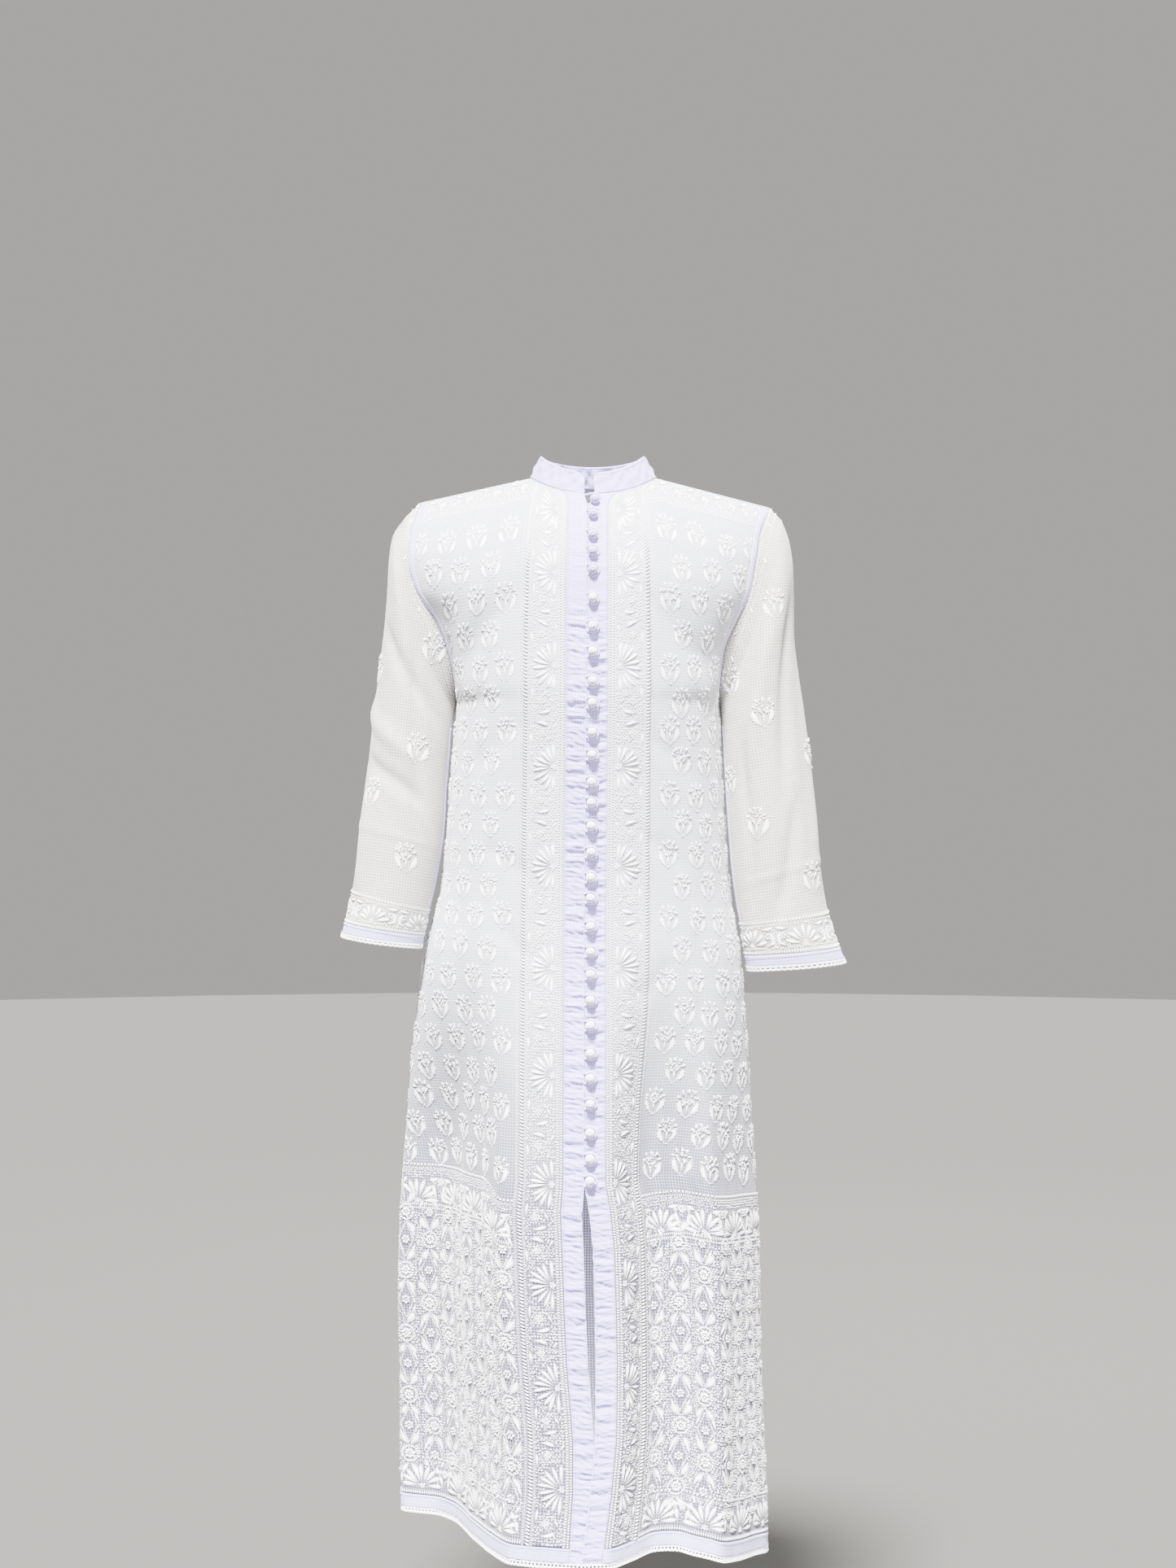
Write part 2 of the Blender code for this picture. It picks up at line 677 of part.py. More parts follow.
# Buttons and loops
def closing_level(drop):
    if drop >= UNDERARM_DROP:
        return (HEM_DROP - drop) / FULL
    return 1 + (UNDERARM_DROP - drop) / (UNDERARM_DROP - NECK_DROP["front"])


def band_place(side, drop, distance):
    """A place on a placket band's flat facets, with the way up and the way out there."""
    level = closing_level(drop)
    low = max(row for row in PLACKET_LEVELS if row <= level)
    high = min(row for row in PLACKET_LEVELS if row > level)
    ends = [body_point(side, "front", across_at(side, "front", row, distance), row)
            for row in (low, high)]
    up = (ends[1] - ends[0]).normalized()
    place = ends[0].lerp(ends[1], (level - low) / (high - low))
    return place, up, Vector((1, 0, 0)).cross(up).normalized()


def build_buttons():
    """Thread-covered ball buttons, a row down the wearer's left placket band."""
    reach = BUTTON_RADIUS * BUTTON_DEPTH * MM
    for number, drop in enumerate(BUTTON_DROPS, 1):
        seat, _, out = band_place("left", drop, BUTTON_FROM_CLOSING)
        ball = bmesh.new()
        bmesh.ops.create_uvsphere(ball, u_segments=8, v_segments=4, radius=BUTTON_RADIUS * MM)
        bmesh.ops.scale(ball, verts=ball.verts, vec=(1, 1, BUTTON_DEPTH))
        bmesh.ops.rotate(ball, verts=ball.verts, cent=(0, 0, 0),
                         matrix=out.to_track_quat("Z", "Y").to_matrix())
        bmesh.ops.translate(ball, verts=ball.verts, vec=seat + out * (reach + SEAM_GAP))
        made = add_object("button_%02d" % number, ball, THREAD)
        made.data.shade_smooth()


def tube(shape, path, radius, sides=4):
    """A closed tube along a path, added to a bmesh."""
    rings = []
    for i, point in enumerate(path):
        along = (path[min(i + 1, len(path) - 1)] - path[max(i - 1, 0)]).normalized()
        across = along.cross(Vector((0, 1, 0))).normalized()
        up = across.cross(along)
        ring = []
        for j in range(sides):
            angle = 2 * math.pi * (j + 0.5) / sides
            ring.append(shape.verts.new(
                point + (across * math.cos(angle) + up * math.sin(angle)) * radius))
        rings.append(ring)
    for low, high in zip(rings, rings[1:]):
        for j in range(sides):
            k = (j + 1) % sides
            shape.faces.new((low[j], low[k], high[k], high[j]))
    shape.faces.new(rings[0][::-1])
    shape.faces.new(rings[-1])


def loop_path(drop):
    """A loop's route from the strip over the closing and round its button."""
    edge, up, out = band_place("right", drop, 0.0)
    ball_x = band_place("left", drop, BUTTON_FROM_CLOSING)[0].x - edge.x

    def at(right, rise, lift):
        return edge + Vector((right, 0, 0)) + up * rise * MM + out * lift * MM

    foot = -LOOP_STRIP_WIDTH / 2 * MM
    lift = LOOP_CORD_RADIUS + LOOP_LIFT
    bend = foot + LOOP_BEND * MM
    path = [at(foot, LOOP_FOOT, -LOOP_ROOT), at(bend, LOOP_FOOT, lift)]
    for degrees in LOOP_TURNS:
        turn = math.radians(degrees)
        right = ball_x + LOOP_REACH * math.cos(turn) * MM
        path.append(at(right, LOOP_REACH * math.sin(turn), lift))
    path += [at(bend, -LOOP_FOOT, lift), at(foot, -LOOP_FOOT, -LOOP_ROOT)]
    return path


def build_loops():
    """Rouleau loops on the narrow strip that edges the wearer's right placket band."""
    rows = []
    for level in PLACKET_LEVELS:
        below = closing_drop(level) > BUTTON_DROPS[-1] + STRIP_PAST_BUTTONS
        if below or level == PLACKET_LEVELS[-1]:
            continue
        end = across_at("right", "front", level, LOOP_STRIP_WIDTH)
        rows.append([body_point("right", "front", end, level),
                     body_point("right", "front", 0.0, level)])
    inward = {(i, j): STRAIGHT_BACK for i in range(len(rows)) for j in (0, 1)}
    strip = wall("button_loops", rows, LILAC, inward=inward)
    for number, drop in enumerate(BUTTON_DROPS, 1):
        cord = bmesh.new()
        tube(cord, loop_path(drop), LOOP_CORD_RADIUS * MM)
        bmesh.ops.recalc_face_normals(cord, faces=cord.faces)
        guide = add_object("loop_guide_%02d" % number, cord, LILAC)
        guide.hide_render = True
        guide.display_type = "WIRE"
        joint = strip.modifiers.new("loop_%02d" % number, "BOOLEAN")
        joint.operation = "UNION"
        joint.solver = "EXACT"
        joint.object = guide


for which in OUT:
    build_front(which)
    build_placket(which)
    build_sleeve(which)
build_back()
build_hem_strip("hem_band", BAND_LEVELS, LILAC, with_placket=False)
build_hem_strip("hem_lace", LACE_LEVELS, LACE, with_placket=True)
build_collar()
build_buttons()
build_loops()
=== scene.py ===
"""A chikankari kurta as it is worn: its looks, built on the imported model.

Metres, +Z up, the front towards -Y and the wearer's left towards +X. Places on the cloth are
flat millimetres: u runs outwards from the closing, the centre back or a sleeve's outer line,
and v runs up from the hem. On a sleeve v runs down from the shoulder, and on a cuff it runs
up from the cuff's edge.
"""

import math

import bmesh
import bpy
import numpy as np
from mathutils import Matrix, Vector


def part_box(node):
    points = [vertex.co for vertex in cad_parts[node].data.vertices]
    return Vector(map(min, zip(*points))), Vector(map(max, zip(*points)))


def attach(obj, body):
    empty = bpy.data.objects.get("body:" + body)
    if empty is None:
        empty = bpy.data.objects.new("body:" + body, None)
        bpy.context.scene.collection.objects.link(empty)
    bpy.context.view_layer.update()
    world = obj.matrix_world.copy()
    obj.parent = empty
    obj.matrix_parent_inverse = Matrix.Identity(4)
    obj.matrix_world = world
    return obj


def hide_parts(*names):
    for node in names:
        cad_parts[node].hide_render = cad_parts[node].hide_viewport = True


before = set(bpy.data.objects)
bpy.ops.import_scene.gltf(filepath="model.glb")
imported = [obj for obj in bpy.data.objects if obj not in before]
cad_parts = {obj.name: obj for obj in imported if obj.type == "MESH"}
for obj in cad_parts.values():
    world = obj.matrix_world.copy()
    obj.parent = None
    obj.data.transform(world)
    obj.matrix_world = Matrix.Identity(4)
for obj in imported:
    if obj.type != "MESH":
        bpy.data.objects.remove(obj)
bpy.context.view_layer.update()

# The body: two front panels and a back of sheer white mul cotton, woven with a raised check
# every 3 mm. They are cut flat, joined at the side and shoulder seams and hang from the
# shoulders in soft folds.
MM = 0.001
HEM_DROP, UNDERARM_DROP, NECK_FRONT_DROP = 1112.0, 240.0, 24.0
SKIRT_LENGTH = HEM_DROP - UNDERARM_DROP
YOKE_LENGTH = 214.0
NECK_HALF_WIDTH = 67.0
NECK_HALF_DEPTH = {"front": 62.0, "back": 50.0}
NECK_DROP = {"front": 24.0, "back": 6.0}
NECK_ROUNDNESS = 0.8
SHOULDER_TIP_DROP = {"right": 26.0, "left": 31.4}
SHOULDER_ROUND = 130.0
CHEST_FULLNESS = 0.85
SKIRT_FROM, SKIRT_FULL = 480.0, 740.0
PLACKET_WIDTH = 21.0
LACE_HEIGHT, HEM_BAND_HEIGHT = 5.5, 14.0
CHECK_PITCH = 0.003
OUT = {"right": -1.0, "left": 1.0}
FACING = {"front": -1.0, "back": 1.0}
rng = np.random.default_rng(7)


def table(columns, *rows):
    """A short table with named columns; the first is the place along the piece."""
    return dict(zip(columns.split(), np.array(rows, float).T))


LEVELS = table(
    "drop right left front back right_y left_y",
    (240, 145, 133, 120, 98, 0, 0),
    (346, 154, 139, 116, 91, 0, 0),
    (430, 161, 145, 115, 88, 0, 0),
    (498, 177, 156, 118, 94, 0, 0),
    (567, 188, 162, 124, 101, 0, -1),
    (707, 201, 171, 136, 108, 1, -4),
    (794, 207, 176, 144, 113, 2, -8),
    (880, 209, 177, 151, 117, 3, -12),
    (968, 207, 179, 158, 121, 4, -18),
    (1055, 207, 183, 166, 126, 5, -24),
    (1112, 205, 184, 174, 130, 5, -28),
)
ARMHOLE = table(
    "rise out_right out_left front_y back_y front back turn",
    (0.00, 0, 0, 0, 0, 120, 98, 90),
    (0.05, 1, 0.5, 16, 15, 120, 98, 89),
    (0.13, 3, 1.5, 28, 26, 119, 99, 84),
    (0.25, 8.5, 4.5, 37, 35, 117, 99, 76),
    (0.40, 21, 17, 42, 41, 114, 99, 68),
    (0.55, 42, 32, 44, 44, 110, 97, 64),
    (0.70, 50, 38, 42, 43, 106, 94, 62),
    (0.84, 48, 43, 31, 33, 101, 90, 62),
    (0.94, 43, 50, 17, 19, 96, 86, 62),
    (1.00, 39, 55, 0, 0, 92, 83, 62),
)
CLOSING = table(
    "drop right left lap",
    (25, -9.5, 1.5, 0),
    (38, -6.3, -5.7, 0),
    (240, -6.9, -6.3, 0),
    (440, -8.8, -8.2, 0),
    (735, -9.6, -9.0, 0),
    (762, -11.9, -4.1, 0),
    (800, -10.2, -0.4, 0),
    (862, -8.1, 1.4, 0),
    (914, -5.5, 2.3, 0),
    (965, -1.2, 1.8, 1.5),
    (991, 0.6, 1.2, 2.5),
    (1041, 0.5, -3.7, 3.5),
    (1112, -4.5, -13.2, 5),
)
SKIRT_FOLDS = table(
    "across right_front left_front right_back left_back",
    (0.00, 1.00, 1.00, 0.94, 0.94),
    (0.08, 1.00, 0.99, 0.97, 0.96),
    (0.16, 1.00, 0.84, 1.00, 1.00),
    (0.25, 0.98, 0.62, 0.97, 1.00),
    (0.33, 0.80, 0.59, 0.86, 0.90),
    (0.40, 0.56, 0.66, 0.84, 0.76),
    (0.50, 0.22, 0.70, 0.72, 0.72),
    (0.60, 0.10, 0.53, 0.40, 0.60),
    (0.75, 0.06, 0.27, 0.17, 0.30),
    (0.90, 0.03, 0.11, 0.07, 0.13),
    (1.00, 0.00, 0.00, 0.00, 0.00),
)
HEM = table(
    "across right_front left_front right_back left_back",
    (0.00, 1112, 1110, 1121, 1121),
    (0.25, 1107, 1109, 1114, 1127),
    (0.45, 1105, 1113, 1109, 1132),
    (0.62, 1104, 1124, 1106, 1134),
    (1.00, 1103.5, 1137, 1103.5, 1137),
)
# Soft troughs (negative) and ridges in the cloth: both ends in u and v, half width and depth
FRONT_CREASES = {
    "right": (
        (150, 905, 60, 985, 13, -2.9), (128, 800, 70, 850, 11, -2.1), (112, 720, 60, 690, 10, -1.8),
        (100, 640, 45, 600, 9, -1.6), (92, 560, 88, 230, 10, 2.6), (132, 520, 138, 60, 12, -3.4),
        (60, 300, 55, 40, 8, 2.0), (168, 420, 172, 40, 11, 2.6), (85, 480, 70, 380, 9, -1.8),
        (140, 660, 150, 540, 14, -2.3), (100, 1010, 130, 940, 12, 2.0), (110, 270, 118, 30, 7, -2.1),
    ),
    "left": (
        (140, 900, 60, 970, 13, -2.6), (118, 790, 62, 840, 11, -2.0), (106, 700, 55, 735, 10, -1.7),
        (95, 600, 50, 560, 9, -1.4), (52, 420, 60, 30, 7, -2.9), (96, 520, 104, 60, 9, 2.9),
        (130, 480, 126, 80, 10, -3.1), (160, 380, 164, 40, 9, 2.3), (78, 350, 84, 40, 6, -2.0),
        (120, 640, 132, 530, 13, -2.1), (100, 1000, 125, 930, 12, 1.8), (36, 300, 40, 90, 6, 1.3),
    ),
}
BACK_CREASES = (
    (-120, 900, -40, 990, 14, -2.6), (118, 905, 45, 985, 14, -2.4), (-90, 760, 40, 740, 16, -1.9),
    (60, 690, -50, 650, 15, -1.8), (-30, 600, -46, 60, 12, 2.6), (-85, 560, -98, 40, 12, -2.9),
    (-150, 480, -158, 50, 11, 2.4), (28, 580, 40, 50, 13, -2.6), (84, 520, 96, 60, 11, 2.4),
    (140, 470, 150, 40, 11, -2.6), (-5, 500, 0, 200, 9, -1.4), (110, 700, 60, 620, 12, -1.7),
)


def read(rows, column, at, smooth=True):
    """A column's values at places between the rows, on a curve that doesn't overshoot."""
    places, values = next(iter(rows.values())), rows[column]
    at = np.clip(at, places[0], places[-1])
    i = np.clip(np.searchsorted(places, at) - 1, 0, len(places) - 2)
    span = np.diff(places)[i]
    part = (at - places[i]) / span
    if not smooth:
        return values[i] + (values[i + 1] - values[i]) * part
    steps = np.diff(values) / np.diff(places)
    before, after = steps[:-1], steps[1:]
    same = before * after > 0
    inner = np.where(same, 2 * before * after / np.where(same, before + after, 1), 0)
    slopes = np.concatenate([steps[:1], inner, steps[-1:]])
    p2, p3 = part ** 2, part ** 3
    return ((2 * p3 - 3 * p2 + 1) * values[i] + (p3 - 2 * p2 + part) * span * slopes[i]
            + (3 * p2 - 2 * p3) * values[i + 1] + (p3 - p2) * span * slopes[i + 1])


def ease(low, high, at):
    share = np.clip((at - low) / (high - low), 0, 1)
    return share * share * (3 - 2 * share)


def closing_drop(level):
    upper = UNDERARM_DROP - (level - 1) * (UNDERARM_DROP - NECK_FRONT_DROP)
    return np.where(level <= 1, HEM_DROP - level * SKIRT_LENGTH, upper)


def seam_facts(side, face, level):
    """Place of the side seam or armhole, depth of the middle and turn, at each level."""
    drop, rise = HEM_DROP - np.minimum(level, 1) * SKIRT_LENGTH, np.clip(level - 1, 0, 1)
    upper = level > 1
    out = LEVELS[side][0] + read(ARMHOLE, "out_" + side, rise)
    edge_x = OUT[side] * np.where(upper, out, read(LEVELS, side, drop))
    edge_y = np.where(upper, FACING[face] * read(ARMHOLE, face + "_y", rise),
                      read(LEVELS, side + "_y", drop))
    depth = FACING[face] * np.where(upper, read(ARMHOLE, face, rise), read(LEVELS, face, drop))
    turn = np.radians(np.where(upper, read(ARMHOLE, "turn", rise), 90.0))
    return edge_x, edge_y, depth, turn


def start_x(side, face, level):
    """Where a half starts: at its closing edge in front, at the middle of the back."""
    if face == "back":
        return sum(seam_facts(s, face, level)[0] for s in OUT) / 2
    return read(CLOSING, side, closing_drop(level), smooth=False)


def fullness(angle):
    return np.maximum(np.cos(angle), 0) ** CHEST_FULLNESS


def body(side, face, across, level):
    """The worn cloth: across is 0 at the closing or centre back, 1 at the side or armhole."""
    across, level = np.broadcast_arrays(np.asarray(across, float), np.asarray(level, float))
    edge_x, edge_y, depth, turn = seam_facts(side, face, level)
    start = start_x(side, face, level)
    x = start + (edge_x - start) * np.sin(across * turn) / np.sin(turn)
    last = np.where(turn < math.pi / 2, fullness(turn), 0)
    share = (fullness(across * turn) - last) / (1 - last)
    drop = HEM_DROP - np.minimum(level, 1) * SKIRT_LENGTH
    folded = read(SKIRT_FOLDS, side + "_" + face, across)
    share = share + (folded - share) * ease(SKIRT_FROM, SKIRT_FULL, drop)
    y = edge_y + (depth - edge_y) * share
    if (side, face) == ("left", "front"):
        y = y - read(CLOSING, "lap", drop) * share
    top = np.array(2.0)
    top_edge, _, top_depth, top_turn = seam_facts(side, face, top)
    top_start = start_x(side, face, top)
    top_x = top_start + (top_edge - top_start) * np.sin(across * top_turn) / np.sin(top_turn)
    reach = np.abs(top_x) / NECK_HALF_WIDTH
    hollow = np.maximum(1 - reach ** 2, 0)
    top_y = FACING[face] * NECK_HALF_DEPTH[face] * np.sqrt(hollow)
    past = (np.abs(top_x) - NECK_HALF_WIDTH) / (abs(top_edge) - NECK_HALF_WIDTH)
    top_z = np.where(reach < 1, -NECK_DROP[face] * hollow ** NECK_ROUNDNESS,
                     -SHOULDER_TIP_DROP[side] * past)
    z_up = -UNDERARM_DROP + (level - 1) * (top_z + UNDERARM_DROP)
    flat = fullness(top_turn)
    full = top_depth * (fullness(across * top_turn) - flat) / (1 - flat)
    ratio = np.minimum(top_y / np.where(np.abs(full) < 1e-6, 1e9, full), 1)
    below = np.minimum(1 - np.sqrt(1 - ratio ** 2) + (top_z - z_up) / SHOULDER_ROUND, 1)
    rounded = y - full * (1 - np.sqrt(1 - (1 - below) ** 2))
    hem = -read(HEM, side + "_" + face, across)
    z_down = hem + level * (-UNDERARM_DROP - hem)
    upper = level > 1
    points = (x, np.where(upper, rounded, y), np.where(upper, z_up, z_down))
    return np.stack(points, axis=-1) * MM


def level_at(v):
    return np.where(v <= SKIRT_LENGTH, v / SKIRT_LENGTH, 1 + (v - SKIRT_LENGTH) / YOKE_LENGTH)


def half_body(side, face):
    """How wide one half is at a height, and where a flat place on it lies."""
    levels, across = np.linspace(0, 2, 161), np.linspace(0, 1, 65)
    points = body(side, face, across[None, :], levels[:, None]) / MM
    steps = np.linalg.norm(np.diff(points, axis=1), axis=2)
    runs = np.concatenate([np.zeros((len(levels), 1)), np.cumsum(steps, axis=1)], axis=1)
    widths = runs[:, -1]
    even = np.array([np.interp(across * run[-1], run, across) for run in runs])

    def width(v):
        return np.interp(level_at(v), levels, widths)

    def place(u, v):
        level = np.clip(level_at(v), 0, 2)
        row = np.minimum(level * 80, 159.999)
        low = row.astype(int)
        column = np.clip(u / width(v), 0, 1) * 63.999
        left = column.astype(int)
        up, right = row - low, column - left
        under = even[low, left] * (1 - right) + even[low, left + 1] * right
        over = even[low + 1, left] * (1 - right) + even[low + 1, left + 1] * right
        return body(side, face, under * (1 - up) + over * up, level)

    return width, place


def creased(u, v, creases):
    """Height of the soft troughs and ridges at flat places, in mm."""
    height = np.zeros(np.broadcast(u, v).shape)
    for u0, v0, u1, v1, half, depth in creases:
        run = np.array([u1 - u0, v1 - v0])
        length = math.hypot(*run)
        along = ((u - u0) * run[0] + (v - v0) * run[1]) / length ** 2
        off = ((u - u0) * run[1] - (v - v0) * run[0]) / length
        off = off - 0.12 * half * np.sin(along * 7 + u0)
        ends = ease(-0.15, 0.25, along) * (1 - ease(0.7, 1.2, along))
        height += depth * ends * np.exp(-(off / half) ** 2)
    return height


def worn(place, relief, outward):
    """A piece's surface with its creases: gives points and outward normals for u and v."""
    def lay(u, v, lift=0.0):
        u, v = np.broadcast_arrays(np.asarray(u, float), np.asarray(v, float))
        here = place(u, v)
        along = place(u + 1.0, v) - place(u - 1.0, v)
        up = place(u, v + 1.0) - place(u, v - 1.0)
        normal = np.cross(along, up) * outward
        normal /= np.maximum(np.linalg.norm(normal, axis=-1, keepdims=True), 1e-12)
        height = (relief(u, v) + lift)[..., None] * MM
        return here + normal * height, normal
    return lay


FRONT_WIDTH, BACK_WIDTH, LAY = {}, {}, {}
front_places, back_places = {}, {}
for side, hand in OUT.items():
    FRONT_WIDTH[side], front_places[side] = half_body(side, "front")
    BACK_WIDTH[side], back_places[side] = half_body(side, "back")
    LAY["front_" + side] = worn(
        front_places[side], lambda u, v, s=side: creased(u, v, FRONT_CREASES[s]), hand)


def back_place(u, v):
    left, right = (back_places[s](np.abs(u), v) for s in ("left", "right"))
    return np.where((u >= 0)[..., None], left, right)


LAY["back"] = worn(back_place, lambda u, v: creased(u, v, BACK_CREASES), -1.0)


def spread(name, cells, flat_place, finish, lay, thickness=0.0005, flat_of=None):
    """A cloth piece from a flat grid. flat_place maps the grid's shares to places for lay,
    which are flat millimetres unless flat_of turns them into those."""
    cut = bmesh.new()
    bmesh.ops.create_grid(cut, x_segments=cells[0], y_segments=cells[1], size=0.5)
    mesh = bpy.data.meshes.new(name)
    cut.to_mesh(mesh)
    cut.free()
    spots = np.empty(len(mesh.vertices) * 3)
    mesh.vertices.foreach_get("co", spots)
    spots = spots.reshape(-1, 3) + 0.5
    u, v = flat_place(spots[:, 0], spots[:, 1])
    points, normals = lay(u, v)
    mesh.vertices.foreach_set("co", points.ravel())
    u, v = flat_of(u, v) if flat_of else (u, v)
    corners = np.empty(len(mesh.loops), int)
    mesh.loops.foreach_get("vertex_index", corners)
    flat = mesh.uv_layers.new(name="flat")
    flat.data.foreach_set("uv", (np.stack([u, v], axis=1)[corners] * MM).ravel())
    return dress(name, mesh, finish, normals, thickness)


def dress(name, mesh, finish, normals, thickness=0.0):
    """Makes the piece, turns its faces outwards and rides it on the body."""
    mesh.update()
    face_normals = np.empty(len(mesh.polygons) * 3)
    mesh.polygons.foreach_get("normal", face_normals)
    first = np.empty(len(mesh.polygons), int)
    mesh.polygons.foreach_get("loop_start", first)
    corners = np.empty(len(mesh.loops), int)
    mesh.loops.foreach_get("vertex_index", corners)
    if (face_normals.reshape(-1, 3) * normals[corners[first]]).sum() < 0:
        mesh.flip_normals()
    mesh.shade_smooth()
    mesh.materials.append(finish)
    piece = bpy.data.objects.new(name, mesh)
    bpy.context.scene.collection.objects.link(piece)
    if thickness:
        shell = piece.modifiers.new("cloth thickness", "SOLIDIFY")
        shell.thickness = thickness
        shell.offset = -1.0
    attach(piece, "root")
    return piece


def hue(text):
    """An sRGB hex colour as linear values."""
    parts = [int(text[i:i + 2], 16) / 255 for i in (0, 2, 4)]
    return tuple(c / 12.92 if c <= 0.04045 else ((c + 0.055) / 1.055) ** 2.4 for c in parts) + (1.0,)


def add(tree, kind, sockets=None, **settings):
    """Adds a node; sockets maps its inputs to values or to the outputs that feed them."""
    node = tree.nodes.new(kind)
    for key, value in settings.items():
        setattr(node, key, value)
    for key, value in (sockets or {}).items():
        if isinstance(value, bpy.types.NodeSocket):
            tree.links.new(value, node.inputs[key])
        else:
            node.inputs[key].default_value = value
    return node


def fabric(name, roughness, sheen):
    """A new cotton finish: its node tree and its shader, ready for a weave."""
    finish = bpy.data.materials.new(name)
    finish.use_nodes = True
    shader = finish.node_tree.nodes["Principled BSDF"]
    shader.inputs["Roughness"].default_value = roughness
    shader.inputs["Sheen Weight"].default_value = sheen
    shader.inputs["Sheen Roughness"].default_value = 0.5
    shader.inputs["IOR"].default_value = 1.45
    return finish, finish.node_tree, shader


def check_cloth(name, ground, thread, painted_skirt_shade=None, veil=1.0):
    """Mul cotton: a fine plain ground with a thicker thread every 3 mm each way. The fourth argument is
    painted shade: a darker ground tone low in the skirt, where nothing lies behind the sheer cloth, and
    the thick threads are painted fainter there along with it. veil is how much light the ground stops."""
    finish, tree, shader = fabric(name, 0.9, 0.25)
    flat = add(tree, "ShaderNodeUVMap", uv_map="flat")
    lines = []
    for direction in ("X", "Y"):
        wave = add(tree, "ShaderNodeTexWave", {
            "Vector": flat.outputs["UV"], "Scale": 0.31416 / CHECK_PITCH, "Distortion": 0.6,
            "Detail": 1.0, "Detail Scale": 0.4}, bands_direction=direction)
        lines.append(add(tree, "ShaderNodeMapRange", {
            "Value": wave.outputs["Fac"], "From Min": 0.84, "From Max": 1.0}))
    both = add(tree, "ShaderNodeMath", {0: lines[0].outputs[0], 1: lines[1].outputs[0]},
               operation="MAXIMUM")
    place = add(tree, "ShaderNodeSeparateXYZ", {"Vector": flat.outputs["UV"]})
    # Painted shade: from 0.62 m down to 0.34 m above the hem the ground darkens to the skirt's shade
    # tone and the check fades.
    low = add(tree, "ShaderNodeMapRange", {
        "Value": place.outputs["Y"], "From Min": 0.62, "From Max": 0.34})
    plain = add(tree, "ShaderNodeMix", {
        0: low.outputs[0], 6: hue(ground), 7: hue(painted_skirt_shade or ground)}, data_type="RGBA")
    slubs = add(tree, "ShaderNodeTexNoise", {
        "Vector": flat.outputs["UV"], "Scale": 90.0, "Detail": 3.0})
    uneven = add(tree, "ShaderNodeMapRange", {
        "Value": slubs.outputs["Fac"], "From Min": 0.3, "From Max": 0.7, "To Min": 0.55})
    faint = add(tree, "ShaderNodeMapRange", {"Value": low.outputs[0], "To Min": 1.0, "To Max": 0.5})
    weave = add(tree, "ShaderNodeMath", {0: both.outputs[0], 1: uneven.outputs[0]},
                operation="MULTIPLY")
    weave = add(tree, "ShaderNodeMath", {0: weave.outputs[0], 1: faint.outputs[0]},
                operation="MULTIPLY")
    colour = add(tree, "ShaderNodeMix", {
        0: weave.outputs[0], 6: plain.outputs[2], 7: hue(thread)}, data_type="RGBA")
    bump = add(tree, "ShaderNodeBump", {
        "Height": both.outputs[0], "Strength": 0.5, "Distance": 0.0003})
    tree.links.new(colour.outputs[2], shader.inputs["Base Color"])
    tree.links.new(bump.outputs["Normal"], shader.inputs["Normal"])
    if veil < 1:
        cover = add(tree, "ShaderNodeMapRange", {"Value": both.outputs[0], "To Min": veil})
        tree.links.new(cover.outputs[0], shader.inputs["Alpha"])
    return finish


# Its last tone is painted shade for the lower skirt, which has nothing behind it.
BODY_CLOTH = check_cloth("white mul cotton with a woven check", "A9ABB4", "D5D6DE", "413D56")
panels = {}
for side in OUT:
    def panel(across, along, s=side):
        v = LACE_HEIGHT + HEM_BAND_HEIGHT + along * (SKIRT_LENGTH + YOKE_LENGTH - 19.5)
        return PLACKET_WIDTH + across * (FRONT_WIDTH[s](v) - PLACKET_WIDTH), v

    piece = spread("cloth_front_" + side, (44, 230), panel, BODY_CLOTH, LAY["front_" + side])
    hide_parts("front_" + side)
    panels["front_" + side] = (piece, (0.26, 1.12), 0.215)


def back_panel(across, along):
    v = LACE_HEIGHT + HEM_BAND_HEIGHT + along * (SKIRT_LENGTH + YOKE_LENGTH - 19.5)
    return -BACK_WIDTH["right"](v) + across * (BACK_WIDTH["right"](v) + BACK_WIDTH["left"](v)), v


piece = spread("cloth_back", (84, 230), back_panel, BODY_CLOTH, LAY["back"])
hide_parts("back")
panels["back"] = (piece, (0.52, 1.12), 0.46)

